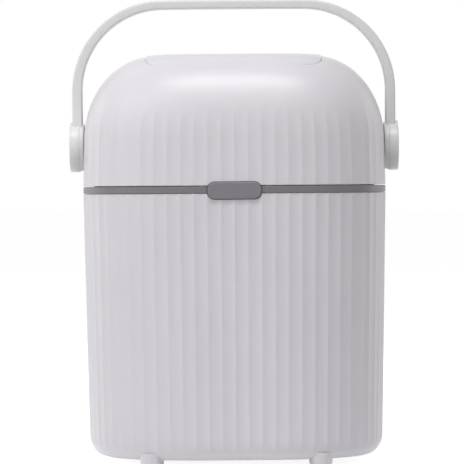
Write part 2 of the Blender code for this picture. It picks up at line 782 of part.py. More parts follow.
def bucket_halves(inset=0.0):
    start = LIP_WIDTH + SEAT_GAP * 2
    return SEAT_HALF_WIDTH - start - inset, SEAT_HALF_DEPTH - start - inset


def make_bucket(parts):
    """Inner bucket that hangs by its lip on the rim band's deck."""
    floor = FOOT_HEIGHT + WALL + BUCKET_LIFT
    wide, deep = bucket_halves()

    def wall_ring(z, inset):
        drawn = BUCKET_TAPER * (LIP_Z - z) / (LIP_Z - floor) + inset
        return plan_ring(wide - drawn, deep - drawn, z)

    def fillet_ring(angle, inset):
        radius = BUCKET_FILLET - inset
        drawn = BUCKET_TAPER + BUCKET_FILLET - radius * math.cos(angle)
        return plan_ring(wide - drawn, deep - drawn, floor + BUCKET_FILLET - radius * math.sin(angle))

    quarter = math.pi / 2
    rings = [fillet_ring(quarter * share, 0) for share in (1, 0.5, 0)]
    rings.append(wall_ring(LIP_Z, 0))
    rings.append(plan_ring(SEAT_HALF_WIDTH, SEAT_HALF_DEPTH, LIP_Z))
    rings.append(plan_ring(SEAT_HALF_WIDTH, SEAT_HALF_DEPTH, LIP_TOP_Z))
    rings.append(plan_ring(wide - BUCKET_WALL, deep - BUCKET_WALL, LIP_TOP_Z))
    rings += [fillet_ring(quarter * share, BUCKET_WALL) for share in (0, 0.5, 1)]
    return finish(loft("inner_bucket", rings, parts), BUCKET_WHITE, 0.5)


def make_bag_ring(parts):
    """Ring that clamps the bag on the bucket's lip."""
    wide, deep = bucket_halves(BUCKET_WALL + SEAT_GAP * 2)
    low = RING_Z - RING_DROP
    slant = BUCKET_TAPER * RING_DROP / (LIP_Z - FOOT_HEIGHT) + SEAT_GAP
    inner_wide = wide - RING_THICK
    inner_deep = deep - RING_THICK
    rings = [plan_ring(SEAT_HALF_WIDTH - RING_EDGE, SEAT_HALF_DEPTH - RING_EDGE, RING_Z),
             plan_ring(SEAT_HALF_WIDTH - RING_EDGE, SEAT_HALF_DEPTH - RING_EDGE, RING_TOP_Z),
             plan_ring(inner_wide, inner_deep, RING_TOP_Z),
             plan_ring(inner_wide - slant, inner_deep - slant, low),
             plan_ring(wide - slant, deep - slant, low),
             plan_ring(wide, deep, RING_Z)]
    return finish(loft("bag_ring", rings, parts, closed=True), SEAL_GREY, 0.5)


def make_lid_shell(parts, tools):
    """Fluted lid with its dome, the flap's opening, liner bosses and hinge pad."""
    quarter = math.pi / 2
    rings = [plan_ring(HALF_WIDTH, HALF_DEPTH, LID_Z, FLUTE_TURNS, FLUTE_DEPTH),
             dome_ring(0, 0, FLUTE_TURNS, FLUTE_DEPTH),
             dome_ring(FLUTE_END_TURN * 0.6, 0, FLUTE_TURNS, FLUTE_DEPTH),
             dome_ring(FLUTE_END_TURN, 0, FLUTE_TURNS)]
    rings += [dome_ring(quarter * share, 0, FLUTE_TURNS) for share in (0.46, 0.61, 0.75, 0.88, 1)]
    lid = loft("lid_shell", rings, parts)

    hollow = [plan_ring(*lid_halves(LID_Z - OVERRUN, WALL), LID_Z - OVERRUN)]
    hollow += [dome_ring(quarter * share, WALL) for share in (0, 0.15, 0.3, 0.42, 0.54, 0.65, 0.75, 0.84,
                                                              0.92, 1)]
    cavity = loft("lid_cavity", hollow, tools)
    bosses = []
    for x in (-LINER_SCREW_X, LINER_SCREW_X):
        for y in (-LINER_SCREW_Y, LINER_SCREW_Y):
            bosses.append(rod("boss", BOSS_RADIUS, (x, y, FLOOR_TOP_Z + SEAT_GAP), (x, y, CROWN_Z), tools,
                              SMALL_SIDES))
    bosses.append(block("arm_pad", (-HINGE_HALF_WIDTH, PAD_TOP_Y, HINGE_Z + HINGE_RADIUS * 1.7),
                        (HINGE_HALF_WIDTH, HALF_DEPTH + OVERRUN, HINGE_Z + ARM_RISE + BOSS_RADIUS), tools))
    for sign in (-1, 1):
        bosses.append(rod("hub_pad", HUB_FLANGE_RADIUS + HUB_PAD_RIM,
                          (sign * (hub_inner_x() - HUB_PAD), 0, PIVOT_Z),
                          (sign * (HALF_WIDTH + OVERRUN), 0, PIVOT_Z), tools, ROUND_SIDES))
    cut(cavity, merged("lid_bosses", bosses, tools))
    cut(lid, cavity)

    mouth = flap_outline(-FLAP_GAP)
    cut(lid, loft("flap_mouth", [level(mouth, SHOULDER_Z), level(mouth, CROWN_Z + OVERRUN)], tools))
    cut(lid, slab("lid_button_way", button_outline(BUTTON_GAP), -HALF_DEPTH - OVERRUN, HOUSING_Y, tools))
    cut(lid, block("lid_hinge_way", (-HINGE_HALF_WIDTH - RUN_GAP * 4, PAD_TOP_Y - OVERRUN, LID_Z - OVERRUN),
                   (HINGE_HALF_WIDTH + RUN_GAP * 4, HALF_DEPTH + OVERRUN, HINGE_Z + HINGE_RADIUS * 1.6),
                   tools))
    holes = []
    for x in (-LINER_SCREW_X, LINER_SCREW_X):
        for y in (-LINER_SCREW_Y, LINER_SCREW_Y):
            holes.append(rod("pilot", SCREW_RADIUS + SEAT_GAP, (x, y, FLOOR_Z),
                             (x, y, FLOOR_Z + LINER_SCREW + SEAT_GAP * 2),
                             tools, SMALL_SIDES))
    for x in hinge_screw_places():
        holes.append(rod("pilot", SCREW_RADIUS + SEAT_GAP, (x, PLATE_Y - HINGE_PLATE_THICK, arm_screw_z()),
                         (x, PLATE_Y - HINGE_PLATE_THICK + SHORT_SCREW + SEAT_GAP * 2, arm_screw_z()),
                         tools, SMALL_SIDES))
    for side in (-1, 1):
        holes.append(rod("hub_hole", HUB_RADIUS + SEAT_GAP, (side * (hub_inner_x() - OVERRUN), 0, PIVOT_Z),
                         (side * (HALF_WIDTH + OVERRUN), 0, PIVOT_Z), tools, ROUND_SIDES))
    cut(lid, merged("lid_holes", holes, tools))
    return finish(lid, WHITE, 0.42)


def hub_inner_x():
    """Where the lid's inner wall stands beside the pivots."""
    return lid_halves(PIVOT_Z, WALL)[0]


def make_liner(parts, tools):
    """Liner that closes the lid's underside and forms the drop chute."""
    side = FLANGE + CHUTE_ROOM
    flange_z = LID_Z + DOME_GAP * 3
    flange_top = LID_Z + LINER_FLANGE_RISE
    outer = WALL + SEAT_GAP
    mouth = rounded_outline(FLAP_HALF_WIDTH + side, FLAP_FRONT + side, CHUTE_REAR, FLAP_CORNER + side)
    rim = rounded_outline(FLAP_HALF_WIDTH + side + LINER_THICK, FLAP_FRONT + side + LINER_THICK,
                          CHUTE_REAR + LINER_THICK, FLAP_CORNER + side + LINER_THICK)
    throat = rounded_outline(FLAP_HALF_WIDTH + side, FLAP_FRONT + side - CHUTE_NARROW, CHUTE_REAR,
                             FLAP_CORNER + side)
    throat_out = rounded_outline(FLAP_HALF_WIDTH + side + LINER_THICK,
                                 FLAP_FRONT + side - CHUTE_NARROW + LINER_THICK,
                                 CHUTE_REAR + LINER_THICK, FLAP_CORNER + side + LINER_THICK)
    clear = WALL + DOME_GAP * 1.5
    rings = [plan_ring(*lid_halves(flange_z, outer), flange_z),
             plan_ring(*lid_halves(flange_top, outer), flange_top),
             plan_ring(*lid_halves(flange_top, outer + LINER_THICK), flange_top),
             plan_ring(*lid_halves(FLOOR_TOP_Z, outer + LINER_THICK), FLOOR_TOP_Z),
             level(throat_out, FLOOR_TOP_Z), draped(rim, clear), draped(mouth, clear),
             level(throat, FLOOR_Z - CHUTE_LIP), level(throat_out, FLOOR_Z - CHUTE_LIP),
             level(throat_out, FLOOR_Z),
             plan_ring(*lid_halves(FLOOR_Z, outer + LINER_THICK), FLOOR_Z),
             plan_ring(*lid_halves(flange_z, outer + LINER_THICK), flange_z)]
    liner = loft("lid_liner", rings, parts, closed=True)

    seat = GASKET_INSET - SEAT_GAP
    seat_in = seat + GASKET_WIDTH + SEAT_GAP * 2
    low = GASKET_TOP_Z + SEAT_GAP
    high = FLOOR_Z + LINER_THICK / 2
    rib = [plan_ring(SEAT_HALF_WIDTH - seat, SEAT_HALF_DEPTH - seat, low),
           plan_ring(SEAT_HALF_WIDTH - seat, SEAT_HALF_DEPTH - seat, high),
           plan_ring(SEAT_HALF_WIDTH - seat_in, SEAT_HALF_DEPTH - seat_in, high),
           plan_ring(SEAT_HALF_WIDTH - seat_in, SEAT_HALF_DEPTH - seat_in, low)]
    join(liner, loft("gasket_rib", rib, tools, closed=True))

    pin_half = FLAP_PIN_LENGTH / 2
    lugs = []
    for sign in (-1, 1):
        near = sign * (pin_half - FLAP_BOSS_WIDTH)
        far = sign * pin_half
        lugs.append(rod("flap_barrel", FLAP_KNUCKLE_RADIUS, (near, FLAP_AXIS_Y, FLAP_AXIS_Z),
                        (far, FLAP_AXIS_Y, FLAP_AXIS_Z), tools, 16))
    for sign in (-1, 1):
        near = sign * (DOOR_HALF_LENGTH + RUN_GAP)
        far = near + sign * DOOR_EAR
        lugs.append(block("door_ear", (DOOR_AXIS_X - DOOR_KNUCKLE_RADIUS, min(near, far),
                                       door_axis_z() - DOOR_KNUCKLE_RADIUS),
                          (DOOR_AXIS_X + DOOR_KNUCKLE_RADIUS, max(near, far), FLOOR_Z + LINER_THICK / 2),
                          tools))
    join(liner, merged("liner_lugs", lugs, tools))
    webs = []
    for sign in (-1, 1):
        near = sign * (pin_half - FLAP_BOSS_WIDTH + SEAT_GAP)
        far = sign * (pin_half - SEAT_GAP)
        webs.append(block("flap_web", (min(near, far), FLAP_AXIS_Y, FLAP_AXIS_Z - FLAP_KNUCKLE_RADIUS * 2),
                          (max(near, far), CHUTE_REAR + LINER_THICK / 2, FLAP_AXIS_Z + SCREW_RADIUS), tools))
    join(liner, merged("flap_webs", webs, tools))

    bores = [rod("flap_bore", FLAP_PIN_RADIUS + SEAT_GAP, (-pin_half - SEAT_GAP, FLAP_AXIS_Y, FLAP_AXIS_Z),
                 (pin_half + OVERRUN, FLAP_AXIS_Y, FLAP_AXIS_Z), tools, SMALL_SIDES),
             rod("door_bore", DOOR_PIN_RADIUS + SEAT_GAP,
                 (DOOR_AXIS_X, -DOOR_HALF_LENGTH - OVERRUN * 2, door_axis_z()),
                 (DOOR_AXIS_X, DOOR_HALF_LENGTH + OVERRUN * 2, door_axis_z()), tools, SMALL_SIDES)]
    for x in (-LINER_SCREW_X, LINER_SCREW_X):
        for y in (-LINER_SCREW_Y, LINER_SCREW_Y):
            bores.append(rod("screw_hole", SCREW_RADIUS + RUN_GAP, (x, y, FLOOR_Z - OVERRUN),
                             (x, y, FLOOR_TOP_Z + OVERRUN), tools, SMALL_SIDES))
    cut(liner, merged("liner_bores", bores, tools))

    wide = BUTTON_HALF_WIDTH + BUTTON_GAP + HOUSING_WALL + EAR_LENGTH + RUN_GAP * 2
    window_y = STRIKE_EDGE_Y - SEAT_GAP
    cut(liner, block("liner_housing_way", (-wide, -HALF_DEPTH, LID_Z - OVERRUN),
                     (wide, window_y, FLOOR_Z - RUN_GAP * 4), tools))
    cut(liner, block("hook_window", (-HOOK_HALF_WIDTH - RUN_GAP * 3, window_y, LID_Z),
                     (HOOK_HALF_WIDTH + RUN_GAP * 3, HOOK_END_Y + BUTTON_TRAVEL + RUN_GAP,
                      FLOOR_TOP_Z + OVERRUN), tools))
    cut(liner, block("filter_window", (FILTER_X - FILTER_HALF_WIDTH, -FILTER_HALF_LENGTH, FLOOR_Z - OVERRUN),
                     (FILTER_X + FILTER_HALF_WIDTH, FILTER_HALF_LENGTH, FLOOR_TOP_Z + OVERRUN), tools))
    cut(liner, block("liner_hinge_way",
                     (-HINGE_HALF_WIDTH - RUN_GAP * 4, PLATE_Y - HINGE_PLATE_THICK - RUN_GAP,
                      LID_Z - OVERRUN),
                     (HINGE_HALF_WIDTH + RUN_GAP * 4, HALF_DEPTH, flange_top + OVERRUN), tools))
    return finish(liner, BUCKET_WHITE, 0.5)


def door_axis_z():
    return FLOOR_Z - SEAT_GAP - DOOR_KNUCKLE_RADIUS


def make_gasket(parts):
    """Soft ring under the lid liner that closes on the bag ring."""
    inner = GASKET_INSET + GASKET_WIDTH
    rings = [plan_ring(SEAT_HALF_WIDTH - GASKET_INSET, SEAT_HALF_DEPTH - GASKET_INSET, GASKET_Z),
             plan_ring(SEAT_HALF_WIDTH - GASKET_INSET, SEAT_HALF_DEPTH - GASKET_INSET, GASKET_TOP_Z),
             plan_ring(SEAT_HALF_WIDTH - inner, SEAT_HALF_DEPTH - inner, GASKET_TOP_Z),
             plan_ring(SEAT_HALF_WIDTH - inner, SEAT_HALF_DEPTH - inner, GASKET_Z)]
    return finish(loft("lid_gasket", rings, parts, closed=True), SEAL_GREY, 0.75)


def edge_drop(inset):
    """How far the flap's rounded edge falls at an inset from its outline."""
    if inset >= FLAP_EDGE:
        return 0.0
    return FLAP_EDGE - math.sqrt(FLAP_EDGE ** 2 - (FLAP_EDGE - inset) ** 2)


def make_flap(parts, tools):
    """Flap in the dome's crown: outer panel, inner plate with knuckles, and seal."""
    top_insets = [share * FLAP_EDGE for share in PANEL_EDGE_SHARES]
    top_insets += [share * FLAP_REAR for share in PANEL_FIELD_SHARES]
    rings = [draped(flap_outline(inset), -FLAP_CROWN, edge_drop(inset)) for inset in reversed(top_insets)]
    rings.append(draped(flap_outline(0), PLATE_INSET - SEAT_GAP))
    rings.append(draped(flap_outline(FLAP_SKIRT), PLATE_INSET - SEAT_GAP))
    under = FLAP_THICK - FLAP_CROWN
    rings += [draped(flap_outline(inset), under) for inset in (FLAP_SKIRT, top_insets[4], top_insets[5],
                                                               top_insets[6])]
    panel = finish(loft("flap_panel", rings, parts), WHITE, 0.4)

    plate_insets = (top_insets[6], top_insets[5], top_insets[4], -FLANGE)
    sheet = [draped(flap_outline(inset), PLATE_INSET) for inset in plate_insets]
    sheet += [draped(flap_outline(inset), PLATE_INSET + PLATE_THICK) for inset in reversed(plate_insets)]
    plate = loft("flap_plate", sheet, parts)
    knuckles = []
    for sign in (-1, 1):
        knuckles.append(rod("knuckle", FLAP_KNUCKLE_RADIUS,
                            (sign * FLAP_KNUCKLE_IN, FLAP_AXIS_Y, FLAP_AXIS_Z),
                            (sign * FLAP_KNUCKLE_OUT, FLAP_AXIS_Y, FLAP_AXIS_Z), tools, 16))
    arms = []
    risers = []
    for sign in (-1, 1):
        near = sign * (FLAP_KNUCKLE_IN + RUN_GAP)
        far = sign * (FLAP_KNUCKLE_OUT - RUN_GAP)
        arms.append(block("arm", (min(near, far), FLAP_REAR - FLAP_CORNER / 4, FLAP_AXIS_Z + FLAP_PIN_RADIUS),
                          (max(near, far), FLAP_AXIS_Y, FLAP_AXIS_Z + FLAP_KNUCKLE_RADIUS - SEAT_GAP), tools))
        near += sign * FLAP_SKIRT
        far -= sign * FLAP_SKIRT
        risers.append(block("riser", (min(near, far), FLAP_REAR - FLAP_CORNER / 5,
                                      FLAP_AXIS_Z + FLAP_PIN_RADIUS + SEAT_GAP),
                            (max(near, far), FLAP_REAR, CROWN_Z - PLATE_INSET - PLATE_THICK / 2), tools))
    join(plate, merged("flap_knuckles", knuckles, tools))
    join(plate, merged("flap_arms", arms, tools))
    cut(plate, rod("flap_knuckle_bore", FLAP_PIN_RADIUS + SEAT_GAP,
                   (-FLAP_KNUCKLE_OUT - OVERRUN, FLAP_AXIS_Y, FLAP_AXIS_Z),
                   (FLAP_KNUCKLE_OUT + OVERRUN, FLAP_AXIS_Y, FLAP_AXIS_Z), tools, SMALL_SIDES))
    join(plate, merged("flap_risers", risers, tools))
    finish(plate, BUCKET_WHITE, 0.5)

    near = -(FLAP_GAP + SEAT_GAP)
    far = near - SEAL_WIDTH
    lips = [draped(flap_outline(near), SEAL_INSET), draped(flap_outline(far), SEAL_INSET),
            draped(flap_outline(far), SEAL_INSET + SEAL_THICK),
            draped(flap_outline(near), SEAL_INSET + SEAL_THICK)]
    seal = finish(loft("flap_seal", lips, parts, closed=True), SEAL_GREY, 0.75)

    half = FLAP_PIN_LENGTH / 2
    pin = rod("flap_pin", FLAP_PIN_RADIUS, (-half, FLAP_AXIS_Y, FLAP_AXIS_Z),
              (half, FLAP_AXIS_Y, FLAP_AXIS_Z),
              parts, SMALL_SIDES)
    finish(pin, STEEL, 0.3, 1.0)
    radius = FLAP_PIN_RADIUS + FLAP_SPRING_WIRE + SEAT_GAP
    spring = wire("flap_spring", coil(radius, -FLAP_SPRING_HALF, FLAP_SPRING_HALF, 5,
                                      (0, FLAP_AXIS_Y, FLAP_AXIS_Z), "X"),
                  FLAP_SPRING_WIRE, parts)
    finish(spring, STEEL, 0.35, 1.0)
    return [panel, plate, seal, spring], [pin]


def make_latch(parts, tools):
    """Push button, housing, spring, hook and strike."""
    button = slab("latch_button", button_outline(0), BUTTON_FACE_Y, BUTTON_BACK_Y, parts)
    soften(button, BUTTON_EDGE)
    stem = block("button_stem", (-STEM_HALF_WIDTH, BUTTON_BACK_Y - BUTTON_DEPTH / 2,
                                 BUTTON_Z - STEM_HALF_HEIGHT),
                 (STEM_HALF_WIDTH, HOOK_Y - SEAT_GAP, BUTTON_Z + STEM_HALF_HEIGHT), tools)
    join(button, stem)
    finish(button, BUTTON_GREY, 0.38)

    grown = BUTTON_GAP + HOUSING_WALL
    housing = slab("latch_housing", button_outline(grown), HOUSING_Y, HOUSING_END_Y, parts)
    ears = []
    ear_x = BUTTON_HALF_WIDTH + grown + EAR_LENGTH
    ear_z = BUTTON_Z - EAR_DROP
    for sign in (-1, 1):
        near = sign * (BUTTON_HALF_WIDTH - EAR_LENGTH)
        ears.append(block("ear", (min(near, sign * ear_x), HOUSING_END_Y - HOUSING_BACK + TRIM,
                                  ear_z - EAR_HALF_HEIGHT),
                          (max(near, sign * ear_x), HOUSING_END_Y - TRIM, ear_z + EAR_HALF_HEIGHT), tools))
    join(housing, merged("housing_ears", ears, tools))
    cut(housing, slab("housing_well", button_outline(BUTTON_GAP), HOUSING_Y - OVERRUN,
                      HOUSING_END_Y - HOUSING_BACK, tools))
    ways = [block("stem_way", (-STEM_HALF_WIDTH - RUN_GAP, HOUSING_Y, BUTTON_Z - STEM_HALF_HEIGHT - RUN_GAP),
                  (STEM_HALF_WIDTH + RUN_GAP, HOUSING_END_Y + OVERRUN, BUTTON_Z + STEM_HALF_HEIGHT + RUN_GAP),
                  tools)]
    hole_x = BUTTON_HALF_WIDTH + grown + EAR_LENGTH / 2
    for sign in (-1, 1):
        ways.append(rod("ear_hole", SCREW_RADIUS + RUN_GAP, (sign * hole_x, HOUSING_Y, ear_z),
                        (sign * hole_x, HOUSING_END_Y + OVERRUN, ear_z), tools, SMALL_SIDES))
    cut(housing, merged("housing_ways", ways, tools))
    finish(housing, DARK_GREY, 0.6)
    for sign, word in ((-1, "left"), (1, "right")):
        screw("latch_screw_" + word, (sign * hole_x, HOUSING_END_Y + SEAT_GAP, ear_z), (0, 1, 0),
              SHORT_SCREW, parts)

    start = BUTTON_BACK_Y + LATCH_SPRING_WIRE + SEAT_GAP
    end = HOUSING_END_Y - HOUSING_BACK - LATCH_SPRING_WIRE - SEAT_GAP
    spring = wire("latch_spring", coil(LATCH_SPRING_RADIUS, start, end, 3, (0, 0, BUTTON_Z), "Y"),
                  LATCH_SPRING_WIRE, parts)
    finish(spring, STEEL, 0.35, 1.0)

    hook = block("latch_hook", (-HOOK_HALF_WIDTH, HOOK_Y, BUTTON_Z - STEM_HALF_HEIGHT * 1.6),
                 (HOOK_HALF_WIDTH, HOOK_END_Y, NOSE_Z + HOOK_NOSE_HEIGHT), parts)
    nose = block("hook_nose", (-HOOK_HALF_WIDTH, HOOK_END_Y - HOOK_NOSE, NOSE_Z),
                 (HOOK_HALF_WIDTH, HOOK_END_Y - HOOK_THICK / 2, NOSE_Z + HOOK_NOSE_HEIGHT), tools)
    join(hook, nose)
    finish(hook, DARK_GREY, 0.5)
    strike = block("latch_strike", (-STRIKE_HALF_WIDTH, STRIKE_EDGE_Y - STRIKE_WIDTH, STRIKE_Z),
                   (STRIKE_HALF_WIDTH, STRIKE_EDGE_Y, STRIKE_Z + STRIKE_THICK), parts)
    soften(strike, STRIKE_THICK / 4, 1)
    finish(strike, STEEL, 0.35, 1.0)
    return [button, hook], [strike]


def make_hinge(parts, tools):
    """Rear hinge: body bracket, lid arm, pin and spring."""
    deep = PLATE_Y - HINGE_PLATE_THICK
    web_low = HINGE_Z - HINGE_RADIUS * 1.35
    bracket = block("hinge_bracket", (-BODY_KNUCKLE_OUT, deep, HINGE_Z - BRACKET_DROP),
                    (BODY_KNUCKLE_OUT, PLATE_Y, BAND_Z - SEAT_GAP), parts)
    webs = []
    arms = []
    for sign in (-1, 1):
        near = sign * BODY_KNUCKLE_IN
        far = sign * BODY_KNUCKLE_OUT
        webs.append(block("web", (min(near, far), deep + SEAT_GAP, web_low),
                          (max(near, far), HINGE_Y, BAND_Z - SEAT_GAP * 2), tools))
        webs.append(rod("barrel", HINGE_RADIUS, (near, HINGE_Y, HINGE_Z), (far, HINGE_Y, HINGE_Z), tools, 16))
        near = sign * (BODY_KNUCKLE_OUT + RUN_GAP)
        far = sign * HINGE_HALF_WIDTH
        arms.append(block("web", (min(near, far), deep + SEAT_GAP, LID_Z - SEAT_GAP),
                          (max(near, far), HINGE_Y, LID_Z + WEB_THICK), tools))
        arms.append(rod("barrel", HINGE_RADIUS, (near, HINGE_Y, HINGE_Z), (far, HINGE_Y, HINGE_Z), tools, 16))
    for web in webs:
        join(bracket, web)
    arm = block("hinge_arm", (-HINGE_HALF_WIDTH, deep, LID_Z),
                (HINGE_HALF_WIDTH, PLATE_Y, HINGE_Z + ARM_RISE), parts)
    for web in arms:
        join(arm, web)
    bore = HINGE_PIN_RADIUS + SEAT_GAP
    reach = HINGE_HALF_WIDTH + OVERRUN
    for obj, z in ((bracket, bracket_screw_z()), (arm, arm_screw_z())):
        holes = [rod("bore", bore, (-reach, HINGE_Y, HINGE_Z), (reach, HINGE_Y, HINGE_Z), tools, SMALL_SIDES)]
        for x in hinge_screw_places():
            holes.append(rod("hole", SCREW_RADIUS + RUN_GAP, (x, deep - OVERRUN, z),
                             (x, PLATE_Y + OVERRUN / 2, z), tools, SMALL_SIDES))
        cut(obj, merged(obj.name + "_holes", holes, tools))
        for x, word in zip(hinge_screw_places(), ("left", "right")):
            screw(obj.name + "_screw_" + word, (x, deep - SEAT_GAP, z), (0, -1, 0), SHORT_SCREW, parts)
    finish(bracket, WHITE, 0.45)
    finish(arm, WHITE, 0.45)
    pin = rod("hinge_pin", HINGE_PIN_RADIUS, (-HINGE_HALF_WIDTH, HINGE_Y, HINGE_Z),
              (HINGE_HALF_WIDTH, HINGE_Y, HINGE_Z),
              parts, SMALL_SIDES)
    finish(pin, STEEL, 0.3, 1.0)
    half = BODY_KNUCKLE_IN - LID_SPRING_WIRE * 2
    radius = HINGE_PIN_RADIUS + LID_SPRING_WIRE + SEAT_GAP
    spring = wire("lid_spring", coil(radius, -half, half, 6, (0, HINGE_Y, HINGE_Z), "X"), LID_SPRING_WIRE,
                  parts)
    finish(spring, STEEL, 0.35, 1.0)
    return [arm, bpy.data.objects["hinge_arm_screw_left"], bpy.data.objects["hinge_arm_screw_right"]]


def strap_section(place, out, thick, wide):
    """Rounded section of the strap at a place, with its thickness along the out direction."""
    corner_share = 0.7
    flat = [(0.5, corner_share), (corner_share, 0.5), (corner_share, -0.5), (0.5, -corner_share)]
    share = [(a / corner_share / 2, b / corner_share / 2) for a, b in flat]
    loop = share + [(-a, -b) for a, b in share]
    return [place + out * (a * thick) + Vector((0, b * wide, 0)) for a, b in loop]


def make_handle(parts, tools):
    """Carrying handle: one strap over the lid with a drum at each end."""
    base = hub_inner_x() + WALL + DRUM_STANDOFF
    face = base + DRUM_CONE + DRUM_RIM
    outer = face - STRAP_INSET
    radius = STRAP_CORNER - STRAP_LEG_THICK / 2
    spring_z = PIVOT_Z + STRAP_RISE - STRAP_CORNER
    centre_x = outer - STRAP_CORNER
    half = [(Vector((outer - STRAP_LEG_THICK / 2, 0, PIVOT_Z + STRAP_FOOT)), 0.0)]
    half.append((Vector((outer - STRAP_LEG_THICK / 2, 0, (PIVOT_Z + spring_z) / 2)), 0.0))
    steps = 10
    for k in range(steps + 1):
        angle = math.pi / 2 * k / steps
        half.append((Vector((centre_x + radius * math.cos(angle), 0, spring_z + radius * math.sin(angle))),
                     angle))
    rings = []
    length = len(half) - 1
    for k, (place, angle) in enumerate(half):
        share = k / length
        thick = STRAP_LEG_THICK + (STRAP_TOP_THICK - STRAP_LEG_THICK) * share
        wide = STRAP_LEG_WIDTH + (STRAP_TOP_WIDTH - STRAP_LEG_WIDTH) * share
        out = Vector((math.cos(angle), 0, math.sin(angle)))
        shift = out * ((STRAP_LEG_THICK - thick) / 2)
        rings.append(strap_section(place + shift, out, thick, wide))
    flipped = [[Vector((-p.x, p.y, p.z)) for p in ring] for ring in reversed(rings)]
    handle = loft("handle", rings + flipped, parts)

    top = DRUM_CONE + DRUM_RIM
    bore = HUB_RADIUS + RUN_GAP
    for sign in (-1, 1):
        profile = [(CUP_RADIUS, top), (DRUM_RADIUS - DRUM_EDGE, top), (DRUM_RADIUS, top - DRUM_EDGE),
                   (DRUM_RADIUS, DRUM_CONE), (DRUM_HUB_RADIUS, 0), (bore, 0), (bore, top - CUP_DEPTH),
                   (CUP_RADIUS, top - CUP_DEPTH)]
        join(handle, turned("drum", profile, (sign * base, 0, PIVOT_Z), (sign, 0, 0), tools, DRUM_SIDES))
    finish(handle, WHITE, 0.4)

    riding = [handle]
    fixed = []
    for sign, word in ((-1, "left"), (1, "right")):
        wall = hub_inner_x() - HUB_PAD - SEAT_GAP
        end = face - CUP_DEPTH + SEAT_GAP
        pilot = SCREW_RADIUS + SEAT_GAP
        depth = end - wall + HUB_FLANGE_THICK
        profile = [(pilot, depth), (HUB_RADIUS, depth), (HUB_RADIUS, HUB_FLANGE_THICK),
                   (HUB_FLANGE_RADIUS, HUB_FLANGE_THICK),
                   (HUB_FLANGE_RADIUS, 0), (pilot, 0)]
        hub = turned("pivot_hub_" + word, profile, (sign * (wall - HUB_FLANGE_THICK), 0, PIVOT_Z),
                     (sign, 0, 0), parts, ROUND_SIDES)
        fixed.append(finish(hub, BUCKET_WHITE, 0.5))
        start = end + SEAT_GAP
        hole = SCREW_RADIUS + RUN_GAP
        profile = [(hole, WASHER_THICK), (WASHER_RADIUS, WASHER_THICK), (WASHER_RADIUS, 0), (hole, 0)]
        washer = turned("pivot_washer_" + word, profile, (sign * start, 0, PIVOT_Z), (sign, 0, 0), parts, 16)
        fixed.append(finish(washer, STEEL, 0.3, 1.0))
        head = start + WASHER_THICK + SEAT_GAP
        fixed.append(screw("pivot_screw_" + word, (sign * head, 0, PIVOT_Z), (sign, 0, 0), LINER_SCREW * 0.7,
                           parts))
        radius = CUP_RADIUS - SEAT_GAP
        low = face - CAP_THICK
        profile = [(0, CAP_THICK + CAP_DOME), (radius * 0.5, CAP_THICK + CAP_DOME * 0.8),
                   (radius - DRUM_EDGE, CAP_THICK),
                   (radius, CAP_THICK - DRUM_EDGE / 2), (radius, 0), (0, 0)]
        cap = turned("pivot_cap_" + word, profile, (sign * low, 0, PIVOT_Z), (sign, 0, 0), parts, ROUND_SIDES)
        riding.append(finish(cap, WHITE, 0.4))
    return riding, fixed


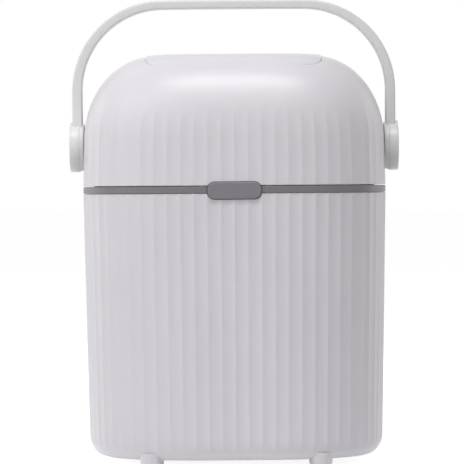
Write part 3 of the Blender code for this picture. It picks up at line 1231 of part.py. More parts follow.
def make_filter(parts, tools):
    """Odour filter in the lid's side: box, carbon block, slotted door and its pin."""
    wide = FILTER_HALF_WIDTH + FILTER_WALL + SEAT_GAP
    long = FILTER_HALF_LENGTH + FILTER_WALL + SEAT_GAP
    low = FLOOR_TOP_Z + SEAT_GAP
    box = block("filter_box", (FILTER_X - wide, -long, low), (FILTER_X + wide, long, low + FILTER_HEIGHT),
                parts)
    hollow = block("filter_hollow", (FILTER_X - wide + FILTER_WALL, -long + FILTER_WALL, low - OVERRUN),
                   (FILTER_X + wide - FILTER_WALL, long - FILTER_WALL, low + FILTER_HEIGHT - FILTER_WALL),
                   tools)
    cut(box, hollow)
    finish(box, BUCKET_WHITE, 0.5)
    carbon_wide = FILTER_HALF_WIDTH - SEAT_GAP
    carbon_long = FILTER_HALF_LENGTH - SEAT_GAP
    carbon = block("carbon_block", (FILTER_X - carbon_wide, -carbon_long, FLOOR_Z + SEAT_GAP),
                   (FILTER_X + carbon_wide, carbon_long, low + FILTER_HEIGHT - FILTER_WALL - SEAT_GAP), parts)
    finish(carbon, CARBON, 0.9)

    axis_z = door_axis_z()
    top = FLOOR_Z - SEAT_GAP
    door = block("filter_door", (DOOR_AXIS_X, -DOOR_HALF_LENGTH, top - DOOR_THICK),
                 (DOOR_AXIS_X + DOOR_REACH, DOOR_HALF_LENGTH, top), parts)
    join(door, rod("door_barrel", DOOR_KNUCKLE_RADIUS, (DOOR_AXIS_X, -DOOR_HALF_LENGTH, axis_z),
                   (DOOR_AXIS_X, DOOR_HALF_LENGTH, axis_z), tools, SMALL_SIDES))
    slots = []
    count = 2 * int((FILTER_HALF_LENGTH - DOOR_SLOT_WIDTH) / DOOR_SLOT_PITCH) + 1
    for k in range(count):
        y = (k - (count - 1) / 2) * DOOR_SLOT_PITCH
        slots.append(block("slot", (FILTER_X - FILTER_HALF_WIDTH * 0.7, y - DOOR_SLOT_WIDTH / 2,
                                    top - DOOR_THICK * 2),
                           (FILTER_X + FILTER_HALF_WIDTH * 0.8, y + DOOR_SLOT_WIDTH / 2, top + DOOR_THICK),
                           tools))
    cut(door, merged("door_slots", slots, tools))
    cut(door, rod("door_knuckle_bore", DOOR_PIN_RADIUS + SEAT_GAP,
                  (DOOR_AXIS_X, -DOOR_HALF_LENGTH - OVERRUN, axis_z),
                  (DOOR_AXIS_X, DOOR_HALF_LENGTH + OVERRUN, axis_z), tools, SMALL_SIDES))
    finish(door, BUCKET_WHITE, 0.5)
    reach = DOOR_HALF_LENGTH + DOOR_EAR
    pin = rod("filter_pin", DOOR_PIN_RADIUS, (DOOR_AXIS_X, -reach, axis_z), (DOOR_AXIS_X, reach, axis_z),
              parts, SMALL_SIDES)
    finish(pin, STEEL, 0.3, 1.0)
    return [door], [box, carbon, pin]


def make_liner_screws(parts):
    """Four screws up through the liner into the lid's bosses."""
    made = []
    for x, word_x in ((-LINER_SCREW_X, "left"), (LINER_SCREW_X, "right")):
        for y, word_y in ((-LINER_SCREW_Y, "front"), (LINER_SCREW_Y, "rear")):
            made.append(screw("liner_screw_" + word_y + "_" + word_x, (x, y, FLOOR_Z - SEAT_GAP), (0, 0, -1),
                              LINER_SCREW, parts))
    return made


def main():
    clear_scene()
    parts = new_collection("nappy_bin")
    tools = new_collection("nappy_bin_cutters")
    make_body(parts, tools)
    make_feet(parts)
    make_band(parts, tools)
    make_bucket(parts)
    make_bag_ring(parts)
    lid = make_lid_shell(parts, tools)
    liner = make_liner(parts, tools)
    gasket = make_gasket(parts)
    flap_pieces, flap_fixed = make_flap(parts, tools)
    button_pieces, latch_fixed = make_latch(parts, tools)
    arm_pieces = make_hinge(parts, tools)
    handle_pieces, handle_fixed = make_handle(parts, tools)
    door_pieces, filter_fixed = make_filter(parts, tools)
    screws = make_liner_screws(parts)

    lid_pivot = pivot_empty("lid_pivot", (0, HINGE_Y, HINGE_Z), parts)
    flap_pivot = pivot_empty("flap_pivot", (0, FLAP_AXIS_Y, FLAP_AXIS_Z), parts, lid_pivot)
    handle_pivot = pivot_empty("handle_pivot", (0, 0, PIVOT_Z), parts, lid_pivot)
    door_pivot = pivot_empty("door_pivot", (DOOR_AXIS_X, 0, door_axis_z()), parts, lid_pivot)
    button_slide = pivot_empty("button_slide", (0, BUTTON_FACE_Y, BUTTON_Z), parts)
    carry(lid_pivot, lid, liner, gasket, *flap_fixed, *latch_fixed, *arm_pieces, *handle_fixed, *filter_fixed,
          *screws)
    carry(flap_pivot, *flap_pieces)
    carry(handle_pivot, *handle_pieces)
    carry(door_pivot, *door_pieces)
    carry(button_slide, *button_pieces)


main()
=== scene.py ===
"""Dresses the nappy bin: fine fluted shells, domed flap, handle, latch, lining and their finishes.

Metres, +Z up, front at -Y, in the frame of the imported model.
"""
import math

import bmesh
import bpy
from bpy.props import FloatProperty, FloatVectorProperty, IntProperty, PointerProperty
from mathutils import Matrix, Vector


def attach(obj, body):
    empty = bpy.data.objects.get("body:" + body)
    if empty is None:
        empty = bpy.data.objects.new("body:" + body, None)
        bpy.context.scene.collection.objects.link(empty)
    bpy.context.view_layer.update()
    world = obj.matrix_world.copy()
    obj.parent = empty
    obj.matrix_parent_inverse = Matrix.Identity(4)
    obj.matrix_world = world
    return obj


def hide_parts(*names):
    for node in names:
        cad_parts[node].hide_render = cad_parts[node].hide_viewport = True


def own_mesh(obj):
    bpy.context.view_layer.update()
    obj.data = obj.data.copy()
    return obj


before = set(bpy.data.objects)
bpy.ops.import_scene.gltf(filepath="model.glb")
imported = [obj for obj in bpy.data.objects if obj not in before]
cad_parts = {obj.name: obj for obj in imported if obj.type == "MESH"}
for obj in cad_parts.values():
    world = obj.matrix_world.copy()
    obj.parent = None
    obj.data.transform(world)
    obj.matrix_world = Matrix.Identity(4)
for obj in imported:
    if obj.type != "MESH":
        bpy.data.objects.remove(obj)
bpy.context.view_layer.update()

bl_info = {
    "name": "Nappy Bin",
    "version": (1, 0, 0),
    "blender": (4, 5, 0),
    "location": "View3D > Sidebar > Nappy Bin",
    "description": "Builds a fluted nappy bin with a domed lid, a drop flap and a carrying handle",
    "category": "Add Mesh",
}

# Plan of the body and the lid
HALF_WIDTH = 0.1243
HALF_DEPTH = 0.1070
PLAN_POWER = 3.0
FOOT_HEIGHT = 0.0060
RIM_Z = 0.2190
BASE_RUN = 0.0120
BASE_RISE = 0.0160
BODY_TAPER = 0.0039
WALL = 0.0026
SEAT_GAP = 0.0003

# Softened edges, and how far a cut runs past what it cuts
EDGE = 0.0004
INNER_EDGE = 0.0003
SOFT = 0.0006
RIM_ROUND = ((0.0, SOFT), (0.0002, 0.0002), (SOFT, 0.0))
OVERRUN = 0.0040

# Rim band, bucket and what lies on it
BAND_Z = 0.2193
BAND_TOP_Z = 0.2248
BAND_WALL = 0.0024
DECK_Z = 0.2213
SKIRT_THICK = 0.0018
SKIRT_DROP = 0.0085
SEAT_HALF_WIDTH = 0.1161
SEAT_HALF_DEPTH = 0.0855
LIP_WIDTH = 0.0055
LIP_Z = 0.2216
LIP_TOP_Z = 0.2234
BUCKET_Z = 0.0126
BUCKET_WALL = 0.0018
BUCKET_TAPER = 0.0060
BUCKET_FILLET = 0.0140
RING_Z = 0.2237
RING_TOP_Z = 0.2253
RING_DROP = 0.0110
RING_THICK = 0.0016
RING_INSET = 0.0004
GASKET_Z = 0.2256
GASKET_TOP_Z = 0.2300

# Lid
LID_Z = 0.2254
LID_FLUTE_SHARE = 0.75
SHOULDER_Z = 0.2620
LID_TAPER = 0.0008
SHOULDER_RISE = 0.0693
SHOULDER_RUN_SIDE = 0.0565
SHOULDER_RUN_FRONT = 0.0480
CROWN_Z = SHOULDER_Z + SHOULDER_RISE
FLOOR_Z = 0.2360
FLOOR_TOP_Z = 0.2380
LINER_THICK = 0.0020
FLANGE_LOW_Z = 0.2275
FLANGE_TOP_Z = 0.2420

# Flap
FLAP_HALF_WIDTH = 0.0712
FLAP_FRONT = 0.0765
FLAP_REAR = 0.0575
FLAP_CORNER = 0.0200
FLAP_GAP = 0.0002
FLAP_CROWN = 0.0008
FLAP_EDGE = 0.0005
FLAP_SKIRT = 0.0016
PLATE_INSET = 0.0051
PLATE_THICK = 0.0020
FLANGE = 0.0052
FLAP_CROWN_RUN = 0.0300
FLAP_AXIS_Y = 0.0665
FLAP_AXIS_Z = 0.3184
FLAP_PIN_RADIUS = 0.0020
FLAP_PIN_HALF = 0.0460
KNUCKLE_RADIUS = 0.0046
KNUCKLE_BORE = 0.0023
KNUCKLE = 0.0180
LUG = 0.0085
FLAP_SPRING_RADIUS = 0.0029
FLAP_SPRING_HALF = 0.0110
SPRING_WIRE = 0.0006
CHUTE_ROOM = 0.0021
CHUTE_REAR = 0.0735
CHUTE_NARROW = 0.0078
CHUTE_LIP = 0.0050

# Latch
BUTTON_Z = 0.22135
BUTTON_HALF_WIDTH = 0.0216
BUTTON_HALF_HEIGHT = 0.0067
BUTTON_CORNER = 0.0064
BUTTON_GAP = 0.0005
BUTTON_FACE_Y = -0.1082
BUTTON_BACK_Y = -0.1032
HOUSING_Y = -0.1034
HOUSING_END_Y = -0.0954
HOOK_Y = -0.0944
HOOK_WAY = 0.0068
HOOK_WAY_END_Y = -0.0885
LATCH_WAY = BUTTON_HALF_WIDTH + 0.0120
SPRING_START_Y = -0.1024
SPRING_END_Y = -0.0978
BUTTON_SPRING_RADIUS = 0.0052
BUTTON_SPRING_WIRE = 0.0005

# Rear hinge
HINGE_Y = 0.1076
HINGE_Z = 0.22205
HINGE_RADIUS = 0.0044
HINGE_HALF_WIDTH = 0.0400
HINGE_WAY = 0.0416
HINGE_PLATE_Y = 0.0991
HINGE_PLATE_THICK = 0.0020
HINGE_BORE = 0.0021
HINGE_PIN_RADIUS = 0.0018
BRACKET_HALF_WIDTH = 0.0240
BRACKET_INNER = 0.0140
ARM_INNER = 0.0244
HINGE_WAY_Y = 0.0987
HINGE_WAY_END_Y = 0.1110
LID_SPRING_RADIUS = 0.0027
LID_SPRING_HALF = 0.0128

# Handle
PIVOT_Z = 0.2577
STRAP_OUTER = 0.1332
STRAP_LEG_THICK = 0.0078
STRAP_TOP_THICK = 0.0068
STRAP_LEG_WIDTH = 0.0230
STRAP_TOP_WIDTH = 0.0200
STRAP_CORNER = 0.0745
STRAP_RISE = 0.1207
DRUM_BASE_X = 0.12419
DRUM_RADIUS = 0.0205
DRUM_HUB_RADIUS = 0.0194
DRUM_CONE = 0.0032
DRUM_RIM = 0.0080
CUP_RADIUS = 0.0140
CUP_DEPTH = 0.0055
CAP_THICK = 0.0017
DRUM_HEIGHT = DRUM_CONE + DRUM_RIM
DRUM_BORE = 0.0064

# Feet
FOOT_X = 0.0675
FOOT_Y = 0.0853

# Odour filter
FILTER_AXIS_X = 0.0838
FILTER_EAR = 0.0040
FILTER_WAY_NEAR = 0.0860
FILTER_WAY_FAR = 0.1020
FILTER_WAY_HALF = 0.0220

# Screws
LATCH_SCREW_X = BUTTON_HALF_WIDTH + 0.0072
LATCH_SCREW_DROP = 0.0066
HINGE_SCREW_X = 0.0186
BRACKET_SCREW_DROP = 0.0160
ARM_SCREW_RISE = 0.0220
LINER_SCREW_X = 0.0970
LINER_SCREW_Y = 0.0450
PIVOT_SCREW_SEAT = 0.0076
SHORT_SCREW = 0.0048
PIVOT_SCREW = 0.0105
LINER_SCREW = 0.0150

# Mesh density
FLUTE_SHARES = (0.0, 0.07, 0.22, 0.40, 0.60, 0.78, 0.93)
PLAN_SAMPLES = 6000
COIL_STEPS = 24
SHARP = math.radians(40)
QUARTER = math.pi / 2
LEFT_RIGHT = (("left", -1), ("right", 1))
FRONT_REAR = (("front", -1), ("rear", 1))

# Photograph: its width in pixels, metres to a pixel at the bin, and how the camera stands
PIXELS = 464
PIXEL = 0.000828
CAMERA_Z = 0.2280
CAMERA_ROLL = math.radians(0.44)
FILM_WIDTH = 36

# Stage: what the lamps face, the strip's power as a share of the top one's, and the floor
LAMP_AIM = Vector((0, 0, 0.22))
STRIP_SHARE = 1.4
FLOOR_HALF_SIZE = 20
FLOOR_BELOW = 0.0002
FLOOR_TINT = (0.92, 0.92, 0.925, 1)
FLOOR_GLOW = 0.85
WHITE = (1, 1, 1, 1)


def scene_sizes():
    return bpy.context.scene.nappy_bin_sizes


def scene_colours():
    return bpy.context.scene.nappy_bin_colours


# Plan curves

def plan_point(wide, deep, turn):
    """Point of the rounded plan's first quarter."""
    return (wide * max(math.cos(turn), 0) ** (2 / PLAN_POWER),
            deep * max(math.sin(turn), 0) ** (2 / PLAN_POWER))


def turn_table():
    """Turns of a quarter of the plan, and how long the outline is up to each."""
    turns = [QUARTER * i / PLAN_SAMPLES for i in range(PLAN_SAMPLES + 1)]
    lengths = [0.0]
    last = plan_point(HALF_WIDTH, HALF_DEPTH, 0)
    for turn in turns[1:]:
        point = plan_point(HALF_WIDTH, HALF_DEPTH, turn)
        lengths.append(lengths[-1] + math.dist(last, point))
        last = point
    return turns, lengths


TABLE = turn_table()


def turns_at(shares):
    """Turns of the quarter at shares of its length at the rim."""
    turns, lengths = TABLE
    found = []
    at = 0
    for share in shares:
        goal = lengths[-1] * share
        while at < len(turns) - 1 and lengths[at] < goal:
            at += 1
        found.append(turns[at])
    return found


def smooth_turns(steps):
    """Even turns of a quarter, without flutes."""
    return turns_at([k / steps for k in range(steps + 1)]), [0.0] * (steps + 1)


def fluted_turns():
    """Turns across each flute of a quarter, and how deep the hollow is at each."""
    flutes = scene_sizes().flutes_per_quarter
    shares = []
    dips = []
    for k in range(flutes):
        for share in FLUTE_SHARES:
            shares.append((k + share) / flutes)
            dips.append(4 * share * (1 - share))
    return turns_at(shares + [1.0]), dips + [0.0]


def mirrored(quarter):
    """The whole outline from its quarter between +X and +Y."""
    back = [(-x, y) for x, y in reversed(quarter[:-1])]
    below = [(-x, -y) for x, y in quarter[1:]]
    front = [(x, -y) for x, y in reversed(quarter[1:-1])]
    return quarter + back + below + front


def plan_ring(wide, deep, z, lay, groove=0.0):
    """The rounded plan at one height, with its flutes hollowed by groove."""
    turns, dips = lay
    quarter = []
    for turn, dip in zip(turns, dips):
        x, y = plan_point(wide, deep, turn)
        if groove and dip:
            across = (x / wide) ** (PLAN_POWER - 1) / wide
            along = (y / deep) ** (PLAN_POWER - 1) / deep
            size = math.hypot(across, along)
            x -= groove * dip * across / size
            y -= groove * dip * along / size
        quarter.append((x, y))
    return [Vector((x, y, z)) for x, y in mirrored(quarter)]


def stacked(wide, deep, rows, lay):
    """Rings of one plan, each drawn in by its inset at its height."""
    return [plan_ring(wide - inset, deep - inset, z, lay) for inset, z in rows]


def eased(share):
    """Smooth from 0 to 1, held at its ends."""
    share = max(0.0, min(1.0, share))
    return share * share * (3 - 2 * share)


def body_halves(z, inset=0.0):
    """Half width and half depth of the body at a height."""
    base_z = FOOT_HEIGHT + BASE_RISE
    drawn = BODY_TAPER * (RIM_Z - z) / (RIM_Z - base_z)
    return HALF_WIDTH - drawn - inset, HALF_DEPTH - drawn - inset


def base_ring(angle, inset, lay, groove=0.0):
    """Ring on the curve between the body's side, at angle 0, and its underside."""
    wide, deep = body_halves(FOOT_HEIGHT + BASE_RISE)
    drawn = BASE_RUN - (BASE_RUN - inset) * math.cos(angle)
    z = FOOT_HEIGHT + BASE_RISE - (BASE_RISE - inset) * math.sin(angle)
    return plan_ring(wide - drawn, deep - drawn, z, lay, groove)


def body_ring(z, inset, lay, groove=0.0, rise=0.0):
    """Ring of the body's side at a height, then moved up by rise."""
    return plan_ring(*body_halves(z, inset), z + rise, lay, groove)


def lid_halves(z, inset=0.0):
    """Half width and half depth of the lid's side at a height."""
    drawn = LID_TAPER * (z - LID_Z) / (SHOULDER_Z - LID_Z)
    return HALF_WIDTH - drawn - inset, HALF_DEPTH - drawn - inset


def lid_ring(z, inset, lay, groove=0.0, rise=0.0):
    """Ring of the lid's side at a height, then moved up by rise."""
    return plan_ring(*lid_halves(z, inset), z + rise, lay, groove)


def dome_halves(level_share, inset):
    """Half width and half depth of the dome, from its crown at 0 to its shoulder at 1."""
    wide, deep = lid_halves(SHOULDER_Z)
    return (wide - SHOULDER_RUN_SIDE + (SHOULDER_RUN_SIDE - inset) * level_share,
            deep - SHOULDER_RUN_FRONT + (SHOULDER_RUN_FRONT - inset) * level_share)


def dome_ring(angle, inset, lay, groove=0.0):
    """Ring on the dome, with the shoulder at angle 0."""
    wide, deep = dome_halves(math.cos(angle), inset)
    return plan_ring(wide, deep, SHOULDER_Z + (SHOULDER_RISE - inset) * math.sin(angle), lay, groove)


def dome_height(x, y, inset):
    """Height, at a point of the plan, of the surface that runs inset under the dome, found by halving."""
    low = 0.0
    high = 1.0
    for _ in range(30):
        middle = (low + high) / 2
        wide, deep = dome_halves(middle, inset)
        if (abs(x) / wide) ** PLAN_POWER + (abs(y) / deep) ** PLAN_POWER > 1:
            low = middle
        else:
            high = middle
    return SHOULDER_Z + (SHOULDER_RISE - inset) * math.sqrt(max(1 - high * high, 0))


def rounded_outline(right, front, rear, radius, straight, bends):
    """Outline of a rectangle with round corners, its front towards -Y."""
    half = (front + rear) / 2
    radius = min(radius, half * 0.9, right * 0.9)
    quarter = [(right, (half - radius) * k / straight) for k in range(straight)]
    for k in range(bends + 1):
        angle = QUARTER * k / bends
        quarter.append((right - radius + radius * math.cos(angle), half - radius + radius * math.sin(angle)))
    quarter += [((right - radius) * (straight - k) / straight, half) for k in range(1, straight + 1)]
    middle = (rear - front) / 2
    return [(x, y + middle) for x, y in mirrored(quarter)]


def flap_outline(inset, straight=10, bends=14):
    """Outline of the flap, drawn in by inset."""
    return rounded_outline(FLAP_HALF_WIDTH - inset, FLAP_FRONT - inset, FLAP_REAR - inset,
                           max(FLAP_CORNER - inset, FLAP_SKIRT), straight, bends)


def between(first, second, share):
    """Plan points at a share of the way from one row of points to another."""
    return [(a[0] + (b[0] - a[0]) * share, a[1] + (b[1] - a[1]) * share) for a, b in zip(first, second)]


def draped(outline, inset, drop=0.0):
    """An outline laid on the surface that runs inset under the dome, and then lowered."""
    return [Vector((x, y, dome_height(x, y, inset) - drop)) for x, y in outline]


def laid(rows):
    """Rings of the flap's outline, each given as how far in, how deep in the dome and how much lower."""
    return [draped(flap_outline(inset), *down) for inset, *down in rows]


def crowned(outline, drop=0.0):
    """Points on the flap's top: flush with the lid along its front edge, a little proud of it behind."""
    points = []
    for x, y in outline:
        crown = FLAP_CROWN * eased((y + FLAP_FRONT) / FLAP_CROWN_RUN)
        points.append(Vector((x, y, dome_height(x, y, -crown) - drop)))
    return points


def level(outline, z):
    """An outline at one height."""
    return [Vector((x, y, z)) for x, y in outline]


def on_flap_pin(x):
    return (x, FLAP_AXIS_Y, FLAP_AXIS_Z)


def on_hinge_pin(x):
    return (x, HINGE_Y, HINGE_Z)


# Mesh tools

def smoothed(mesh, sharp=SHARP):
    """Smooth shading, broken where the surface turns by more than an angle."""
    mesh.shade_smooth()
    mesh.set_sharp_from_angle(angle=sharp)
    return mesh


def mesh_from(name, bm, sharp=SHARP):
    """Mesh of a working mesh, which is then used up."""
    bmesh.ops.recalc_face_normals(bm, faces=bm.faces)
    mesh = bpy.data.meshes.new(name)
    bm.to_mesh(mesh)
    bm.free()
    return smoothed(mesh, sharp)


def baked(obj):
    """Mesh of an object as its curve or its modifier shapes it."""
    bpy.context.view_layer.update()
    graph = bpy.context.evaluated_depsgraph_get()
    return smoothed(bpy.data.meshes.new_from_object(obj.evaluated_get(graph)))


def put_mesh(obj, mesh):
    """Gives an object another mesh in place of its own."""
    old = obj.data
    obj.data = mesh
    bpy.data.meshes.remove(old)


def piece(name, mesh):
    obj = bpy.data.objects.new(name, mesh)
    bpy.context.scene.collection.objects.link(obj)
    return obj


def skinned(rings, closed=False):
    """Working mesh of the skin through rings of equal count."""
    bm = bmesh.new()
    loops = [[bm.verts.new(point) for point in ring] for ring in rings]
    pairs = list(zip(loops, loops[1:]))
    if closed:
        pairs.append((loops[-1], loops[0]))
    for low, high in pairs:
        for i, corner in enumerate(low):
            j = (i + 1) % len(low)
            bm.faces.new((corner, low[j], high[j], high[i]))
    if not closed:
        bm.faces.new(list(reversed(loops[0])))
        bm.faces.new(loops[-1])
    return bm


def lofted(name, rings, closed=False):
    return piece(name, mesh_from(name, skinned(rings, closed)))


def add_to(bm, other):
    """Copies one working mesh into another."""
    mesh = bpy.data.meshes.new("joining")
    other.to_mesh(mesh)
    other.free()
    bm.from_mesh(mesh)
    bpy.data.meshes.remove(mesh)


def add_parts(obj, workings):
    """Adds working meshes to a piece."""
    bm = bmesh.new()
    bm.from_mesh(obj.data)
    for working in workings:
        add_to(bm, working)
    put_mesh(obj, mesh_from(obj.name, bm))


def block_mesh(low, high, edge=EDGE):
    """Working mesh of a block between two corners."""
    low = Vector(low)
    high = Vector(high)
    bm = bmesh.new()
    bmesh.ops.create_cube(bm, size=1)
    bmesh.ops.scale(bm, vec=high - low, verts=bm.verts)
    bmesh.ops.translate(bm, vec=(low + high) / 2, verts=bm.verts)
    if edge:
        bmesh.ops.bevel(bm, geom=bm.edges, offset=edge, segments=2, profile=0.5, affect="EDGES")
    return bm


def turned_mesh(profile, place, axis, sides=48):
    """Working mesh of a profile of (radius, height) points spun about an axis."""
    spin = Vector(axis).to_track_quat("Z", "Y").to_matrix().to_4x4()
    turn = Matrix.Translation(place) @ spin
    bm = bmesh.new()
    loops = []
    for radius, height in profile:
        angles = [2 * math.pi * k / sides for k in range(sides if radius else 1)]
        points = [Vector((radius * math.cos(angle), radius * math.sin(angle), height)) for angle in angles]
        loops.append([bm.verts.new(turn @ point) for point in points])
    pairs = list(zip(loops, loops[1:]))
    if profile[0][0] > 0 and profile[-1][0] > 0:
        pairs.append((loops[-1], loops[0]))
    for low, high in pairs:
        for k in range(sides):
            j = (k + 1) % sides
            corners = [low[k % len(low)], low[j % len(low)], high[j % len(high)], high[k % len(high)]]
            unique = list(dict.fromkeys(corners))
            if len(unique) > 2:
                bm.faces.new(unique)
    return bm


def sleeve(bore, radius, length, edge=0.0003):
    """Profile of a tube, or of a rod where the bore is 0, with softened outer edges."""
    return [(bore, length), (radius - edge, length), (radius, length - edge),
            (radius, edge), (radius - edge, 0), (bore, 0)]


def rod_mesh(radius, start, end, edge=0.0002):
    """Working mesh of a round rod between two places."""
    start = Vector(start)
    end = Vector(end)
    return turned_mesh(sleeve(0, radius, (end - start).length, edge), start, end - start, 32)


def swept_mesh(path, section):
    """Working mesh of a section carried along a path of places, ways out, thicknesses and widths."""
    side = Vector((0, 1, 0))
    rings = []
    for place, out, thick, wide in path:
        rings.append([place + out * (a * thick) + side * (b * wide) for a, b in section])
    return skinned(rings)


def coil(radius, start, end, turns, middle, along):
    """Points of a coil from start to end, along X or Y."""
    count = int(turns * COIL_STEPS)
    points = []
    for k in range(count + 1):
        angle = 2 * math.pi * k / COIL_STEPS
        shift = start + (end - start) * k / count
        side = radius * math.cos(angle)
        rise = radius * math.sin(angle)
        if along == "X":
            points.append((shift, middle[1] + side, middle[2] + rise))
        else:
            points.append((middle[0] + side, shift, middle[2] + rise))
    return points


def wire_piece(name, points, radius):
    """Round wire along a row of points."""
    curve = bpy.data.curves.new(name + "_path", "CURVE")
    curve.dimensions = "3D"
    spline = curve.splines.new("POLY")
    spline.points.add(len(points) - 1)
    for at, point in zip(spline.points, points):
        at.co = (*point, 1)
    curve.bevel_depth = radius
    curve.bevel_resolution = 3
    curve.use_fill_caps = True
    path = piece(name + "_path", curve)
    mesh = baked(path)
    bpy.data.objects.remove(path)
    bpy.data.curves.remove(curve)
    mesh.name = name
    return piece(name, mesh)


def carve(obj, working):
    """Cuts a working mesh out of a piece, for good."""
    tool = piece(obj.name + "_tool", mesh_from(obj.name + "_tool", working))
    step = obj.modifiers.new("carve", "BOOLEAN")
    step.operation = "DIFFERENCE"
    step.solver = "EXACT"
    step.object = tool
    mesh = baked(obj)
    obj.modifiers.clear()
    put_mesh(obj, mesh)
    bpy.data.objects.remove(tool)


def cut_block(obj, low, high):
    """Cuts a block with sharp edges out of a piece."""
    carve(obj, block_mesh(low, high, 0))


def button_ring(grow, y):
    """The button's outline at one depth, grown or shrunk."""
    flat = rounded_outline(BUTTON_HALF_WIDTH + grow, BUTTON_HALF_HEIGHT + grow, BUTTON_HALF_HEIGHT + grow,
                           BUTTON_CORNER + grow, straight=4, bends=10)
    return [Vector((x, y, z + BUTTON_Z)) for x, z in flat]


def button_room(back_y):
    """Working mesh of the room round the button, from in front of the bin to a depth."""
    return skinned([button_ring(BUTTON_GAP, y) for y in (-HALF_DEPTH - OVERRUN, back_y)])


def settle(obj, body, look, *nodes):
    """Finishes a piece, lets it ride on a body, and hides the plain solid it stands for."""
    obj.data.materials.clear()
    obj.data.materials.append(finish_of(look))
    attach(obj, body)
    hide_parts(*nodes)
    return obj


def settle_mesh(name, bm, body, look, node, sharp=SHARP):
    """Makes a working mesh into a settled piece."""
    return settle(piece(name, mesh_from(name, bm, sharp)), body, look, node)


# Finishes

class Field:
    """A value that varies over a surface. Sums written with it add Math nodes."""

    def __init__(self, kit, socket):
        self.kit = kit
        self.socket = socket

    def calc(self, operation, *values):
        return self.kit.add("ShaderNodeMath", {"operation": operation}, dict(enumerate(values)))

    def __add__(self, other):
        return self.calc("ADD", self, other)

    __radd__ = __add__

    def __sub__(self, other):
        return self.calc("SUBTRACT", self, other)

    def __rsub__(self, other):
        return self.calc("SUBTRACT", other, self)

    def __mul__(self, other):
        return self.calc("MULTIPLY", self, other)

    __rmul__ = __mul__

    def larger(self, other):
        return self.calc("MAXIMUM", self, other)

    def step(self, low, high):
        """0 below low, 1 above high, smooth between."""
        return self.kit.add("ShaderNodeMapRange", {"interpolation_type": "SMOOTHSTEP"},
                            {"Value": self, "From Min": low, "From Max": high})


class Finish:
    """The nodes of one material or world, built node by node."""

    def __init__(self, owner):
        self.owner = owner
        owner.use_nodes = True
        self.tree = owner.node_tree
        self.tree.nodes.clear()

    def add(self, kind, settings=None, values=None, out=0):
        """One node, with its settings, and with a value or a link on each socket named."""
        node = self.tree.nodes.new(kind)
        for key, value in (settings or {}).items():
            setattr(node, key, value)
        for key, value in (values or {}).items():
            socket = node.inputs[key]
            if isinstance(value, Field):
                self.tree.links.new(value.socket, socket)
            else:
                socket.default_value = value
        return Field(self, node.outputs[out])

    def close(self, kind, shader):
        """Adds the output node, fed by one shader."""
        output = self.tree.nodes.new(kind)
        self.tree.links.new(shader.socket, output.inputs["Surface"])
        return self.owner

    def place(self):
        return self.add("ShaderNodeTexCoord", out="Object")

    def noise(self, where, scale, detail, rough):
        return self.add("ShaderNodeTexNoise", {"noise_dimensions": "3D"},
                        {"Vector": where, "Scale": scale, "Detail": detail, "Roughness": rough})

    def stretched(self, where, scale):
        return self.add("ShaderNodeVectorMath", {"operation": "MULTIPLY"}, {0: where, 1: scale})

    def seen(self):
        """1 for rays from the camera, off glossy surfaces and through clear ones, else 0."""
        camera, glossy, clear = [self.add("ShaderNodeLightPath", out="Is " + ray + " Ray")
                                 for ray in ("Camera", "Glossy", "Transmission")]
        return camera.larger(glossy).larger(clear)

    def mixed(self, share, first, second):
        return self.add("ShaderNodeMix", {"data_type": "RGBA"}, {"Factor": share, 6: first, 7: second}, out=2)

    def bump(self, height, distance, normal=None):
        values = {"Height": height, "Distance": distance}
        if normal is not None:
            values["Normal"] = normal
        return self.add("ShaderNodeBump", None, values)

    def shade(self, **sockets):
        """Closes the material with one Principled shader."""
        values = {key.replace("_", " ").title().replace("Ior", "IOR"): value
                  for key, value in sockets.items()}
        shader = self.add("ShaderNodeBsdfPrincipled", None, values)
        return self.close("ShaderNodeOutputMaterial", shader)


def opaque(colour):
    return (*colour, 1.0)


def scaled(colour, share):
    return opaque([part * share for part in colour])


def moulded(name, colour, rough, grain, tone):
    """Moulded plastic: faint cloudiness, fine tool texture and patches of slightly duller skin."""
    kit = Finish(bpy.data.materials.new(name))
    where = kit.place()
    clouds = kit.noise(where, 14.0, 3.0, 0.55)
    flow = kit.noise(kit.stretched(where, (1.0, 1.0, 0.35)), 55.0, 3.0, 0.6)
    pores = kit.noise(where, 2600.0, 2.0, 0.6)
    wave = kit.noise(where, 38.0, 1.0, 0.4)
    shade = (clouds * 0.65 + flow * 0.35).step(0.32, 0.68)
    base = kit.mixed(shade, scaled(colour, 1 - tone), scaled(colour, 1 + tone * 0.35))
    dull = rough + (flow - 0.5) * 0.09 + (pores - 0.5) * 0.05
    relief = kit.bump(pores, grain, kit.bump(wave, grain * 5))
    return kit.shade(base_color=base, roughness=dull, normal=relief, ior=1.47)


def soft_rubber(name, colour, rough):
    """Rubber: matt, slightly dusty, with a fine stipple."""
    kit = Finish(bpy.data.materials.new(name))
    where = kit.place()
    dust = kit.noise(where, 120.0, 4.0, 0.65)
    stipple = kit.noise(where, 1900.0, 1.0, 0.5)
    base = kit.mixed(dust.step(0.45, 0.75), opaque(colour), scaled([c + 0.04 for c in colour], 1.15))
    relief = kit.bump(stipple, 0.00003)
    return kit.shade(base_color=base, roughness=rough + (dust - 0.5) * 0.12, normal=relief, ior=1.5)


def drawn_steel(name, colour, rough, along):
    """Bright steel, with a fine grain that along squeezes on each axis: into lines where they differ."""
    kit = Finish(bpy.data.materials.new(name))
    where = kit.place()
    lines = kit.noise(kit.stretched(where, along), 420.0, 3.0, 0.6)
    stain = kit.noise(where, 160.0, 3.0, 0.6)
    base = kit.mixed(stain.step(0.5, 0.8), opaque(colour), scaled(colour, 0.8))
    relief = kit.bump(lines, 0.00001)
    dull = rough + (lines - 0.5) * 0.16 + (stain - 0.5) * 0.1
    return kit.shade(base_color=base, metallic=1.0, roughness=dull, normal=relief)


